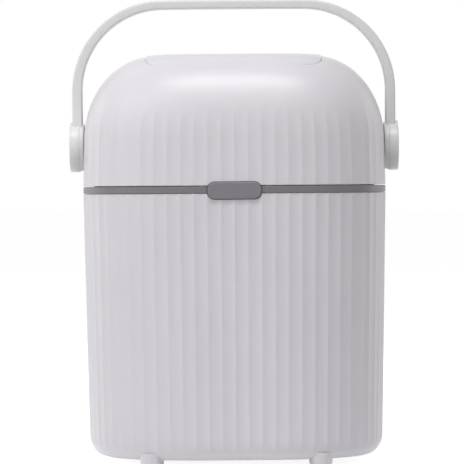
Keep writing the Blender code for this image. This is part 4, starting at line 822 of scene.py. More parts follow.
def porous_carbon(name, colour):
    """Pressed carbon granules."""
    kit = Finish(bpy.data.materials.new(name))
    where = kit.place()
    grains = kit.add("ShaderNodeTexVoronoi", {"feature": "F1"}, {"Vector": where, "Scale": 700.0},
                     out="Distance")
    tint = kit.noise(where, 900.0, 2.0, 0.6)
    base = kit.mixed(tint.step(0.4, 0.7), opaque(colour), scaled([c + 0.02 for c in colour], 1.4))
    relief = kit.bump(grains, 0.0005)
    return kit.shade(base_color=base, roughness=0.75 + (tint - 0.5) * 0.3, normal=relief)


FINISHES = {}


def finish_of(look):
    """The shared finishes, each made when it is first asked for."""
    if look not in FINISHES:
        tints = scene_colours()
        shell = tuple(tints.shell)
        makers = {
            "shell": (moulded, "shell_plastic", shell, 0.37, 0.000010, 0.025),
            "lid": (moulded, "lid_plastic", shell, 0.35, 0.000009, 0.022),
            "handle": (moulded, "handle_plastic", (0.745, 0.741, 0.745), 0.36, 0.000004, 0.02),
            "band": (moulded, "band_plastic", tuple(tints.band), 0.42, 0.000014, 0.06),
            "button": (moulded, "button_plastic", tuple(tints.button), 0.40, 0.000014, 0.05),
            "inner": (moulded, "lining_plastic", tuple(tints.inner), 0.5, 0.000016, 0.04),
            "ring": (moulded, "ring_plastic", (0.42, 0.42, 0.43), 0.48, 0.000016, 0.05),
            "dark": (moulded, "mechanism_plastic", (0.035, 0.035, 0.038), 0.5, 0.000018, 0.15),
            "foot": (soft_rubber, "foot_rubber", (0.12, 0.12, 0.125), 0.72),
            "seal": (soft_rubber, "seal_rubber", (0.42, 0.42, 0.43), 0.66),
            "steel": (drawn_steel, "pin_steel", (0.56, 0.56, 0.57), 0.3, (1.0, 12.0, 12.0)),
            "screw": (drawn_steel, "screw_steel", (0.50, 0.50, 0.51), 0.34, (6.0, 6.0, 6.0)),
            "carbon": (porous_carbon, "carbon_granules", (0.02, 0.02, 0.022)),
        }
        maker, *values = makers[look]
        FINISHES[look] = maker(*values)
    return FINISHES[look]


# Sizes and colours

class NappyBinSizes(bpy.types.PropertyGroup):
    flutes_per_quarter: IntProperty(name="Flutes per quarter", description="Flutes in a quarter of the plan",
                                    default=18, min=6, max=30)
    flute_depth: FloatProperty(name="Flute depth", description="How far each flute is hollowed",
                               default=0.00070, min=0.0, max=0.002, unit="LENGTH", precision=5)
    strap_width: FloatProperty(name="Handle bar width", description="Width of the bar, front to back",
                               default=STRAP_TOP_WIDTH, min=0.01, max=0.03, unit="LENGTH", precision=4)
    camera_distance: FloatProperty(name="Camera distance", description="From the camera to the bin's middle",
                                   default=2.5, min=0.8, max=6.0, unit="LENGTH")
    key_power: FloatProperty(name="Key light", description="Watts of the softbox at the upper left",
                             default=14.0, min=0.0, max=200.0)
    top_power: FloatProperty(name="Top lights",
                             description="Watts of the softbox overhead; the strip has 1.4 times that",
                             default=5.5, min=0.0, max=200.0)
    rim_power: FloatProperty(name="Rim lights", description="Watts of each softbox behind the sides",
                             default=3.9, min=0.0, max=200.0)
    ambient: FloatProperty(name="Ambient", description="Strength of the room's light on the object",
                           default=0.15, min=0.0, max=1.0)


class NappyBinColours(bpy.types.PropertyGroup):
    shell: FloatVectorProperty(name="Shell", description="Body, lid and handle", subtype="COLOR", size=3,
                               default=(0.752, 0.728, 0.766), min=0.0, max=1.0)
    inner: FloatVectorProperty(name="Lining", description="Bucket and lid lining", subtype="COLOR", size=3,
                               default=(0.70, 0.70, 0.71), min=0.0, max=1.0)
    band: FloatVectorProperty(name="Rim band", description="Band between body and lid",
                              subtype="COLOR", size=3, default=(0.205, 0.192, 0.205), min=0.0, max=1.0)
    button: FloatVectorProperty(name="Button", description="Button on the front", subtype="COLOR", size=3,
                                default=(0.235, 0.212, 0.238), min=0.0, max=1.0)


# Pieces

class NAPPYBIN_OT_body(bpy.types.Operator):
    """Fluted body with its peg feet and rubber pads"""
    bl_idname = "nappybin.body"
    bl_label = "Body and feet"

    def execute(self, context):
        lay = fluted_turns()
        depth = scene_sizes().flute_depth
        rows = []
        for degrees in (90, 82, 74, 66, 58, 51, 44, 38, 32, 26, 20, 14, 7, 0):
            rows.append(base_ring(math.radians(degrees), 0, lay, depth * eased((48 - degrees) / 40)))
        for z in (0.056, 0.110, 0.165, RIM_Z - 0.0012):
            rows.append(body_ring(z, 0.0, lay, depth))
        for inset, drop in RIM_ROUND:
            rows.append(body_ring(RIM_Z, inset, lay, depth * (1 - inset / SOFT), -drop))
        rows.append(body_ring(RIM_Z, WALL - INNER_EDGE, lay))
        rows.append(body_ring(RIM_Z, WALL, lay, 0.0, -INNER_EDGE))
        rows.append(body_ring(0.13, WALL, lay))
        for degrees in (0, 15, 30, 45, 60, 75, 90):
            rows.append(base_ring(math.radians(degrees), WALL, lay))
        body = lofted("fluted_body", rows)
        carve(body, button_room(HOUSING_Y))
        cut_block(body, (-HINGE_WAY, HALF_DEPTH - 0.010, HINGE_Z - HINGE_RADIUS * 1.5),
                  (HINGE_WAY, HALF_DEPTH + OVERRUN, RIM_Z + OVERRUN))
        peg = [(0, 0.0118), (0.0095, 0.0118), (0.0094, 0.0080), (0.0093, 0.0036), (0.0092, 0.0030),
               (0.0089, 0.0025), (0.0085, 0.0023), (0, 0.0023)]
        workings = []
        for x in (-FOOT_X, FOOT_X):
            workings += [turned_mesh(peg, (x, y, 0), (0, 0, 1)) for y in (-FOOT_Y, FOOT_Y)]
        boss = block_mesh((-0.026, 0.1014, HINGE_Z - 0.0280), (0.026, 0.1052, HINGE_Z - 0.0088), SOFT)
        add_parts(body, workings + [boss])
        settle(body, "bin", "shell", "body_shell")
        profile = [(0, 0.0058), (0.0028, 0.0058), (0.0030, 0.0020), (0.0078, 0.0020), (0.0080, 0.0018),
                   (0.0080, 0.0006), (0.0077, 0.0002), (0.0072, 0.0), (0.0052, 0.0), (0.0050, 0.0003),
                   (0.0036, 0.0003), (0.0034, 0.0), (0, 0.0)]
        for word_x, sign_x in LEFT_RIGHT:
            for word_y, sign_y in FRONT_REAR:
                words = word_y + "_" + word_x
                pad = turned_mesh(profile, (sign_x * FOOT_X, sign_y * FOOT_Y, 0), (0, 0, 1))
                settle_mesh("pad_" + words, pad, "bin", "foot", "foot_pad_" + words)
        return {"FINISHED"}


class NAPPYBIN_OT_band(bpy.types.Operator):
    """Grey band on the rim, with the deck that the bucket hangs on"""
    bl_idname = "nappybin.band"
    bl_label = "Rim band"

    def execute(self, context):
        lay = smooth_turns(60)
        skirt_z = BAND_Z - SKIRT_DROP
        skirt = WALL + SEAT_GAP
        rows = stacked(HALF_WIDTH, HALF_DEPTH,
                       ((EDGE, BAND_Z), (0, BAND_Z + EDGE), (0, BAND_TOP_Z - EDGE), (EDGE, BAND_TOP_Z),
                        (BAND_WALL - EDGE, BAND_TOP_Z), (BAND_WALL, BAND_TOP_Z - EDGE),
                        (BAND_WALL, DECK_Z + EDGE), (BAND_WALL + EDGE, DECK_Z)), lay)
        rows += stacked(SEAT_HALF_WIDTH, SEAT_HALF_DEPTH,
                        ((LIP_WIDTH - EDGE, DECK_Z), (LIP_WIDTH, DECK_Z - EDGE), (LIP_WIDTH, BAND_Z)), lay)
        for z, inset in ((BAND_Z, skirt + SKIRT_THICK), (skirt_z, skirt + SKIRT_THICK),
                         (skirt_z, skirt), (BAND_Z, skirt)):
            rows.append(body_ring(z, inset, lay))
        band = lofted("rim_band_ring", rows, closed=True)
        low = BAND_Z - 0.0130
        high = BAND_Z + 0.0100
        cut_block(band, (-LATCH_WAY, -HALF_DEPTH + WALL, low), (LATCH_WAY, HOUSING_END_Y + 0.0008, high))
        cut_block(band, (-HOOK_WAY, HOUSING_END_Y - OVERRUN, low), (HOOK_WAY, HOOK_WAY_END_Y, high))
        carve(band, button_room(-HALF_DEPTH + WALL + 0.0004))
        cut_block(band, (-HINGE_WAY, HINGE_WAY_Y, low), (HINGE_WAY, HINGE_WAY_END_Y, high))
        settle(band, "bin", "band", "rim_band")
        return {"FINISHED"}


class NAPPYBIN_OT_bucket(bpy.types.Operator):
    """Inner bucket and the ring that holds the bag"""
    bl_idname = "nappybin.bucket"
    bl_label = "Bucket and bag ring"

    def execute(self, context):
        lay = smooth_turns(40)
        start = LIP_WIDTH + SEAT_GAP * 2
        wide = SEAT_HALF_WIDTH - start
        deep = SEAT_HALF_DEPTH - start

        def fillet(angle, inset):
            radius = BUCKET_FILLET - inset
            drawn = BUCKET_TAPER + BUCKET_FILLET - radius * math.cos(angle)
            z = BUCKET_Z + BUCKET_FILLET - radius * math.sin(angle)
            return plan_ring(wide - drawn, deep - drawn, z, lay)

        turns = [QUARTER * k / 6 for k in range(7)]
        lip = 0.0005
        rows = [fillet(turn, 0) for turn in reversed(turns)]
        rows.append(plan_ring(wide, deep, LIP_Z, lay))
        rows += stacked(SEAT_HALF_WIDTH, SEAT_HALF_DEPTH,
                        ((lip, LIP_Z), (0, LIP_Z + lip), (0, LIP_TOP_Z - lip), (lip, LIP_TOP_Z)), lay)
        rows += stacked(wide, deep, ((BUCKET_WALL - lip, LIP_TOP_Z), (BUCKET_WALL, LIP_TOP_Z - lip)), lay)
        rows += [fillet(turn, BUCKET_WALL) for turn in turns]
        settle_mesh("hanging_bucket", skinned(rows), "bin", "inner", "inner_bucket")
        self.ring(wide - BUCKET_WALL - SEAT_GAP * 2, deep - BUCKET_WALL - SEAT_GAP * 2, lay)
        return {"FINISHED"}

    def ring(self, wide, deep, lay):
        """The bag ring: a flat rim, and a skirt that reaches into the bucket."""
        low = RING_Z - RING_DROP
        slant = BUCKET_TAPER * RING_DROP / (LIP_Z - FOOT_HEIGHT) + SEAT_GAP
        inner = RING_THICK + slant
        rows = stacked(SEAT_HALF_WIDTH - RING_INSET, SEAT_HALF_DEPTH - RING_INSET,
                       ((EDGE, RING_Z), (0, RING_Z + EDGE), (0, RING_TOP_Z - EDGE), (EDGE, RING_TOP_Z)), lay)
        rows += stacked(wide, deep,
                        ((RING_THICK - EDGE * 2, RING_TOP_Z), (RING_THICK, RING_TOP_Z - EDGE * 2),
                         (inner, low + EDGE), (inner - EDGE, low), (slant + EDGE, low), (slant, low + EDGE),
                         (0, RING_Z)), lay)
        settle_mesh("bag_clamp_ring", skinned(rows, closed=True), "bin", "ring", "bag_ring")


class NAPPYBIN_OT_lid(bpy.types.Operator):
    """Fluted, domed lid with the flap's mouth in its crown"""
    bl_idname = "nappybin.lid"
    bl_label = "Lid"
    CROWN_DEGREES = 49

    def execute(self, context):
        lay = fluted_turns()
        depth = scene_sizes().flute_depth * LID_FLUTE_SHARE
        rows = [lid_ring(LID_Z, WALL - INNER_EDGE, lay)]
        for inset, rise in reversed(RIM_ROUND):
            rows.append(lid_ring(LID_Z, inset, lay, depth * (1 - inset / SOFT), rise))
        for z in (LID_Z + 0.0012, LID_Z + 0.0170):
            rows.append(lid_ring(z, 0.0, lay, depth))
        for degrees in (0, 4, 8, 12, 16, 19, 22, 25, 28, 31, 34, 37, 40, 43, 46, self.CROWN_DEGREES):
            rows.append(dome_ring(math.radians(degrees), 0, lay, depth * eased((25 - degrees) / 17)))
        last = rows[-1]
        mouth = self.matched(last, -FLAP_GAP)
        lead = 0.0010
        steps = 11
        rim = self.matched(last, -FLAP_GAP - lead)
        rows += [draped(between(last, rim, k / steps), 0) for k in range(1, steps + 1)]
        for grow, drop in ((0.0003, 0.00006), (0.00008, 0.0002), (0.0, 0.0005)):
            rows.append(draped(self.matched(last, -FLAP_GAP - grow), 0, drop))
        rows.append(draped(mouth, WALL - INNER_EDGE))
        inner = dome_ring(math.radians(self.CROWN_DEGREES), WALL, lay)
        rows += [draped(between(mouth, inner, share), WALL) for share in (0.0, 0.35, 0.7)]
        for degrees in (self.CROWN_DEGREES, 36, 24, 12, 0):
            rows.append(dome_ring(math.radians(degrees), WALL, lay))
        rows.append(lid_ring(LID_Z + INNER_EDGE, WALL, lay))
        lid = lofted("domed_lid", rows, closed=True)
        carve(lid, button_room(HOUSING_Y))
        cut_block(lid, (-HINGE_WAY, HINGE_WAY_Y - 0.0013, LID_Z - OVERRUN),
                  (HINGE_WAY, HINGE_WAY_END_Y, HINGE_Z + HINGE_RADIUS * 1.6))
        settle(lid, "lid", "lid", "lid_shell")
        return {"FINISHED"}

    def matched(self, ring, inset):
        """Points of the mouth's outline that face the points of a ring, seen from the mouth's middle."""
        middle = (FLAP_REAR - FLAP_FRONT) / 2
        flatter = 0.93
        table = sorted((math.atan2(y - middle, x), x, y) for x, y in flap_outline(inset, 60, 60))
        before = (table[-1][0] - 2 * math.pi, *table[-1][1:])
        after = (table[0][0] + 2 * math.pi, *table[0][1:])
        table = [before] + table + [after]
        found = []
        for point in ring:
            angle = math.atan2((point.y - middle * abs(point.y) / HALF_DEPTH) * flatter, point.x)
            low = 0
            high = len(table) - 1
            while high - low > 1:
                half = (low + high) // 2
                if table[half][0] <= angle:
                    low = half
                else:
                    high = half
            a, b = table[low], table[high]
            share = (angle - a[0]) / max(b[0] - a[0], 1e-9)
            found += between([a[1:]], [b[1:]], share)
        return found


class NAPPYBIN_OT_flap(bpy.types.Operator):
    """Drop flap: outer panel, inner plate, seal, pin and spring"""
    bl_idname = "nappybin.flap"
    bl_label = "Drop flap"

    def execute(self, context):
        self.panel()
        self.plate()
        near = -0.0009
        far = near - 0.0031
        rows = laid(((near, 0.0036), (near - 0.0008, 0.0033), (far + 0.0008, 0.0033), (far, 0.0037),
                     (far, 0.0046), (far + 0.0003, 0.0048), (near - 0.0003, 0.0048), (near, 0.0046)))
        settle_mesh("flap_lip_seal", skinned(rows, closed=True), "flap", "seal", "flap_seal")
        axle = rod_mesh(FLAP_PIN_RADIUS, on_flap_pin(-FLAP_PIN_HALF), on_flap_pin(FLAP_PIN_HALF))
        settle_mesh("flap_axle", axle, "lid", "steel", "flap_pin")
        points = coil(FLAP_SPRING_RADIUS, -FLAP_SPRING_HALF, FLAP_SPRING_HALF, 5, on_flap_pin(0), "X")
        settle(wire_piece("flap_return_spring", points, SPRING_WIRE), "flap", "steel", "flap_spring")
        return {"FINISHED"}

    def panel(self):
        """The outer panel, crowned on top and hollow below."""
        rows = []
        for inset in (0.050, 0.040, 0.032, 0.026, 0.021, 0.017, 0.0135, 0.0105, 0.008, 0.006, 0.0043, 0.0028,
                      0.0016):
            rows.append(crowned(flap_outline(inset)))
        for degrees in (90, 75, 60, 45, 30, 15, 0):
            angle = math.radians(degrees)
            inset = FLAP_EDGE - FLAP_EDGE * math.cos(angle)
            drop = FLAP_EDGE - FLAP_EDGE * math.sin(angle)
            rows.append(crowned(flap_outline(inset), drop))
        foot = PLATE_INSET - SEAT_GAP
        rows += laid(((0, foot), (FLAP_SKIRT, foot), (FLAP_SKIRT, 0.0012), (0.010, 0.0012), (0.035, 0.0012)))
        settle_mesh("drop_flap_panel", skinned(rows), "flap", "lid", "flap_panel")

    def plate(self):
        """The inner plate, with a groove round its underside and two knuckles on the pin."""
        edge = SOFT - FLANGE
        rows = laid([(inset, PLATE_INSET) for inset in (0.035, 0.020, 0.010, 0.002, edge)])
        rows += laid([(inset, PLATE_INSET, drop)
                      for inset, drop in ((-FLANGE, SOFT), (-FLANGE, PLATE_THICK - SOFT), (edge, PLATE_THICK),
                                          (0.0060, PLATE_THICK), (0.0064, PLATE_THICK - SOFT),
                                          (0.0076, PLATE_THICK - SOFT), (0.0080, PLATE_THICK),
                                          (0.020, PLATE_THICK), (0.035, PLATE_THICK))])
        plate = lofted("flap_backing_plate", rows)
        profile = sleeve(KNUCKLE_BORE, KNUCKLE_RADIUS, KNUCKLE)
        workings = []
        for start in (-2 * KNUCKLE, KNUCKLE):
            low = start + EDGE
            high = start + KNUCKLE - EDGE
            workings.append(turned_mesh(profile, on_flap_pin(start), (1, 0, 0), 40))
            workings.append(block_mesh((low, FLAP_REAR - 0.005, FLAP_AXIS_Z + 0.0024),
                                       (high, FLAP_AXIS_Y - 0.0015, FLAP_AXIS_Z + 0.0043)))
            workings.append(block_mesh((low, FLAP_REAR - 0.005, FLAP_AXIS_Z + 0.0026),
                                       (high, FLAP_REAR, CROWN_Z - PLATE_INSET - 0.0012)))
        add_parts(plate, workings)
        settle(plate, "flap", "inner", "flap_plate")


class NAPPYBIN_OT_lining(bpy.types.Operator):
    """Lining under the lid, with its chute, and the gasket below it"""
    bl_idname = "nappybin.lining"
    bl_label = "Lid lining"

    def execute(self, context):
        lay = smooth_turns(40)
        self.liner(lay)
        low = GASKET_Z
        seat = 0.0010
        inner = seat + 0.0044
        crest = (seat + inner) / 2
        rows = stacked(SEAT_HALF_WIDTH, SEAT_HALF_DEPTH,
                       ((seat, GASKET_TOP_Z), (inner, GASKET_TOP_Z), (inner, low + 0.0012),
                        (inner - 0.0008, low + 0.0003), (crest + EDGE, low), (crest - EDGE, low),
                        (seat + 0.0008, low + 0.0003), (seat, low + 0.0012)), lay)
        settle_mesh("lining_gasket", skinned(rows, closed=True), "lid", "seal", "lid_gasket")
        return {"FINISHED"}

    def liner(self, rib_lay):
        """The liner: a flange on the lid's wall, a floor, and a chute up to the flap."""
        side = FLANGE + CHUTE_ROOM
        outer = WALL + SEAT_GAP
        inner = outer + LINER_THICK
        clear = WALL + 0.00105
        thick = LINER_THICK
        lay = smooth_turns(26)

        def mouth(grow, front):
            return rounded_outline(FLAP_HALF_WIDTH + side + grow, front + grow, CHUTE_REAR + grow,
                                   FLAP_CORNER + side + grow, straight=6, bends=14)

        front = FLAP_FRONT + side
        throat = front - CHUTE_NARROW
        lip_z = FLOOR_Z - CHUTE_LIP
        rows = [lid_ring(FLANGE_LOW_Z, outer, lay), lid_ring(FLANGE_TOP_Z, outer, lay),
                lid_ring(FLANGE_TOP_Z, inner, lay), lid_ring(FLOOR_TOP_Z, inner, lay),
                level(mouth(thick, throat), FLOOR_TOP_Z)]
        for grow, drop in ((thick, 0.0004), (thick - 0.0005, 0.0), (0.0005, 0.0), (0, 0.0004)):
            rows.append(draped(mouth(grow, front), clear, drop))
        for grow, z in ((0, lip_z + SOFT), (SOFT, lip_z), (thick - SOFT, lip_z), (thick, lip_z + SOFT),
                        (thick, FLOOR_Z - SOFT), (thick + SOFT, FLOOR_Z)):
            rows.append(level(mouth(grow, throat), z))
        rows.append(lid_ring(FLOOR_Z, inner + SOFT, lay))
        rows.append(lid_ring(FLOOR_Z, inner, lay, 0.0, -SOFT))
        rows.append(lid_ring(FLANGE_LOW_Z, inner, lay))
        liner = lofted("lid_lining", rows, closed=True)
        latch_y = -0.0960
        hook_way = HOOK_WAY + 0.0001
        above = FLOOR_TOP_Z + OVERRUN
        cut_block(liner, (-LATCH_WAY, -HALF_DEPTH, LID_Z - OVERRUN), (LATCH_WAY, latch_y, FLOOR_Z - 0.0016))
        cut_block(liner, (-hook_way, latch_y, LID_Z), (hook_way, HOOK_WAY_END_Y, above))
        cut_block(liner, (FILTER_WAY_NEAR, -FILTER_WAY_HALF, FLOOR_Z - OVERRUN),
                  (FILTER_WAY_FAR, FILTER_WAY_HALF, above))
        cut_block(liner, (-HINGE_WAY, HINGE_WAY_Y, LID_Z - OVERRUN),
                  (HINGE_WAY, HALF_DEPTH, FLANGE_TOP_Z + OVERRUN))
        add_parts(liner, self.fittings(rib_lay))
        settle(liner, "lid", "inner", "lid_liner")

    def fittings(self, lay):
        """Working meshes of the gasket's rib, the flap pin's two lugs and the filter door's two ears."""
        seat = 0.0007
        seat_in = 0.0057
        low = GASKET_TOP_Z + SEAT_GAP
        high = FLOOR_Z + LINER_THICK / 2
        rib = stacked(SEAT_HALF_WIDTH, SEAT_HALF_DEPTH,
                      ((seat, low + 0.0003), (seat, high), (seat_in, high), (seat_in, low + 0.0003),
                       (seat_in - 0.0003, low), (seat + 0.0003, low)), lay)
        workings = [skinned(rib, closed=True)]
        lug = sleeve(KNUCKLE_BORE, KNUCKLE_RADIUS, LUG)
        for x in (-FLAP_PIN_HALF, FLAP_PIN_HALF - LUG):
            workings.append(turned_mesh(lug, on_flap_pin(x), (1, 0, 0), 40))
            workings.append(block_mesh((x + 0.0003, FLAP_AXIS_Y + 0.0024, FLAP_AXIS_Z - 0.0092),
                                       (x + 0.0082, CHUTE_REAR + 0.001, FLAP_AXIS_Z + 0.0014), 0.0003))
        ear = sleeve(0.0013, 0.0021, FILTER_EAR, 0.0002)
        for y in (-0.0284, 0.0244):
            workings.append(turned_mesh(ear, (FILTER_AXIS_X, y, FLOOR_Z - 0.0024), (0, 1, 0), 32))
            workings.append(block_mesh((FILTER_AXIS_X - 0.0021, y, FLOOR_Z - 0.0013),
                                       (FILTER_AXIS_X + 0.0021, y + FILTER_EAR, FLOOR_Z + 0.0006), 0.0002))
        return workings


class NAPPYBIN_OT_latch(bpy.types.Operator):
    """Push button with its spring"""
    bl_idname = "nappybin.latch"
    bl_label = "Latch"

    def execute(self, context):
        edge = 0.0009
        rows = [button_ring(-shrink, BUTTON_FACE_Y + 0.00004) for shrink in (0.0036, 0.0020)]
        for degrees in (90, 72, 54, 36, 18, 0):
            angle = math.radians(degrees)
            y = BUTTON_FACE_Y + edge - edge * math.sin(angle)
            rows.append(button_ring(-edge + edge * math.cos(angle), y))
        rows.append(button_ring(0, BUTTON_BACK_Y))
        bm = skinned(rows)
        add_to(bm, block_mesh((-0.003, BUTTON_BACK_Y - 0.001, BUTTON_Z - 0.0025),
                              (0.003, HOOK_Y - SEAT_GAP, BUTTON_Z + 0.0025), 0.0002))
        settle_mesh("push_button", bm, "button", "button", "latch_button")
        points = coil(BUTTON_SPRING_RADIUS, SPRING_START_Y, SPRING_END_Y, 3, (0, 0, BUTTON_Z), "Y")
        spring = settle(wire_piece("button_spring", points, BUTTON_SPRING_WIRE), "bin", "steel",
                        "latch_spring")
        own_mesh(spring)
        return {"FINISHED"}


class NAPPYBIN_OT_hinge(bpy.types.Operator):
    """Rear hinge: bracket, arm, pin and spring"""
    bl_idname = "nappybin.hinge"
    bl_label = "Rear hinge"

    def execute(self, context):
        deep = HINGE_PLATE_Y
        back = deep + HINGE_PLATE_THICK
        bracket = block_mesh((-BRACKET_HALF_WIDTH, deep, HINGE_Z - 0.0240), (BRACKET_HALF_WIDTH, back, RIM_Z))
        arm = block_mesh((-HINGE_HALF_WIDTH, deep, LID_Z), (HINGE_HALF_WIDTH, back, HINGE_Z + 0.0260))
        leaves = ((bracket, BRACKET_INNER, BRACKET_HALF_WIDTH, RIM_Z - 0.0027, RIM_Z - 0.0003),
                  (arm, ARM_INNER, HINGE_HALF_WIDTH, LID_Z - 0.0002, LID_Z + 0.0030))
        for sign in (-1, 1):
            for bm, near, far, low, high in leaves:
                start, end = sorted((sign * near, sign * far))
                barrel = sleeve(HINGE_BORE, HINGE_RADIUS, end - start, EDGE)
                add_to(bm, turned_mesh(barrel, on_hinge_pin(start), (1, 0, 0), 40))
                add_to(bm, block_mesh((start, deep + 0.0003, low), (end, HINGE_Y - 0.0022, high), 0.0003))
        settle_mesh("rear_hinge_bracket", bracket, "bin", "shell", "hinge_bracket")
        settle_mesh("rear_hinge_arm", arm, "lid", "lid", "hinge_arm")
        axle = rod_mesh(HINGE_PIN_RADIUS, on_hinge_pin(-HINGE_HALF_WIDTH), on_hinge_pin(HINGE_HALF_WIDTH),
                        EDGE)
        settle_mesh("rear_hinge_axle", axle, "bin", "steel", "hinge_pin")
        points = coil(LID_SPRING_RADIUS, -LID_SPRING_HALF, LID_SPRING_HALF, 6, on_hinge_pin(0), "X")
        settle(wire_piece("rear_lid_spring", points, SPRING_WIRE), "bin", "steel", "lid_spring")
        return {"FINISHED"}


class NAPPYBIN_OT_handle(bpy.types.Operator):
    """Carrying handle with its drums and caps"""
    bl_idname = "nappybin.handle"
    bl_label = "Handle"

    def execute(self, context):
        bm = swept_mesh(self.path(), self.section())
        top = DRUM_HEIGHT
        drum = [(CUP_RADIUS, top - 0.0003), (CUP_RADIUS + 0.0003, top), (DRUM_RADIUS - 0.0009, top),
                (DRUM_RADIUS - 0.0004, top - 0.0001), (DRUM_RADIUS - 0.0001, top - 0.0004),
                (DRUM_RADIUS, top - 0.0009), (DRUM_RADIUS, DRUM_CONE + 0.0006),
                (DRUM_RADIUS - 0.0004, DRUM_CONE), (DRUM_RADIUS - 0.0008, DRUM_CONE - 0.0002),
                (DRUM_HUB_RADIUS, 0.0004),
                (DRUM_HUB_RADIUS - 0.0005, -0.0003), (DRUM_BORE, -0.0003), (DRUM_BORE, top - CUP_DEPTH),
                (CUP_RADIUS, top - CUP_DEPTH)]
        for _, sign in LEFT_RIGHT:
            add_to(bm, turned_mesh(drum, (sign * DRUM_BASE_X, 0, PIVOT_Z), (sign, 0, 0), 96))
        settle_mesh("carry_handle", bm, "handle", "handle", "handle", math.radians(50))
        rim = CUP_RADIUS - SEAT_GAP
        disc = [(0, CAP_THICK + 0.0002), (rim * 0.35, CAP_THICK + 0.00019), (rim * 0.65, CAP_THICK + 0.00014),
                (rim * 0.85, CAP_THICK + 0.00007), (rim - 0.0008, CAP_THICK),
                (rim - 0.0002, CAP_THICK - 0.0003),
                (rim, CAP_THICK - 0.0008), (rim, 0), (0, 0)]
        face = DRUM_BASE_X + DRUM_HEIGHT
        for word, sign in LEFT_RIGHT:
            cap = turned_mesh(disc, (sign * (face - CAP_THICK), 0, PIVOT_Z), (sign, 0, 0), 72)
            settle_mesh("drum_cap_" + word, cap, "handle", "handle", "pivot_cap_" + word)
        return {"FINISHED"}

    def section(self):
        """The strap's section, one thick and one wide, with fuller corners outside than inside."""
        points = []
        for out_side, side, start in ((1, 1, 0), (-1, 1, 90), (-1, -1, 180), (1, -1, 270)):
            round_a, round_b = (0.24, 0.085) if out_side > 0 else (0.11, 0.038)
            for k in range(6):
                angle = math.radians(start + 18 * k)
                points.append((out_side * (0.5 - round_a) + round_a * math.cos(angle),
                               side * (0.5 - round_b) + round_b * math.sin(angle)))
        return points

    def path(self):
        """Places, ways out, thicknesses and widths along the strap, from the right foot to the left one."""
        top_wide = scene_sizes().strap_width
        radius = STRAP_CORNER - STRAP_LEG_THICK / 2
        spring_z = PIVOT_Z + STRAP_RISE - STRAP_CORNER
        centre_x = STRAP_OUTER - STRAP_CORNER
        stops = []
        for z in (PIVOT_Z + 0.0150, PIVOT_Z + 0.040):
            stops.append((Vector((STRAP_OUTER - STRAP_LEG_THICK / 2, 0, z)), 0.0))
        for k in range(29):
            angle = QUARTER * k / 28
            place = Vector((centre_x + radius * math.cos(angle), 0, spring_z + radius * math.sin(angle)))
            stops.append((place, angle))
        stops.append((Vector((centre_x * 0.5, 0, spring_z + radius)), QUARTER))
        lengths = [0.0]
        for a, b in zip(stops, stops[1:]):
            lengths.append(lengths[-1] + (b[0] - a[0]).length)
        right = []
        for (place, angle), length in zip(stops, lengths):
            share = length / lengths[-1]
            thick = STRAP_LEG_THICK + (STRAP_TOP_THICK - STRAP_LEG_THICK) * share
            wide = STRAP_LEG_WIDTH + (top_wide - STRAP_LEG_WIDTH) * share
            out = Vector((math.cos(angle), 0, math.sin(angle)))
            right.append((place + out * ((STRAP_LEG_THICK - thick) / 2), out, thick, wide))
        left = [(Vector((-place.x, place.y, place.z)), Vector((-out.x, out.y, out.z)), thick, wide)
                for place, out, thick, wide in reversed(right)]
        return right + left


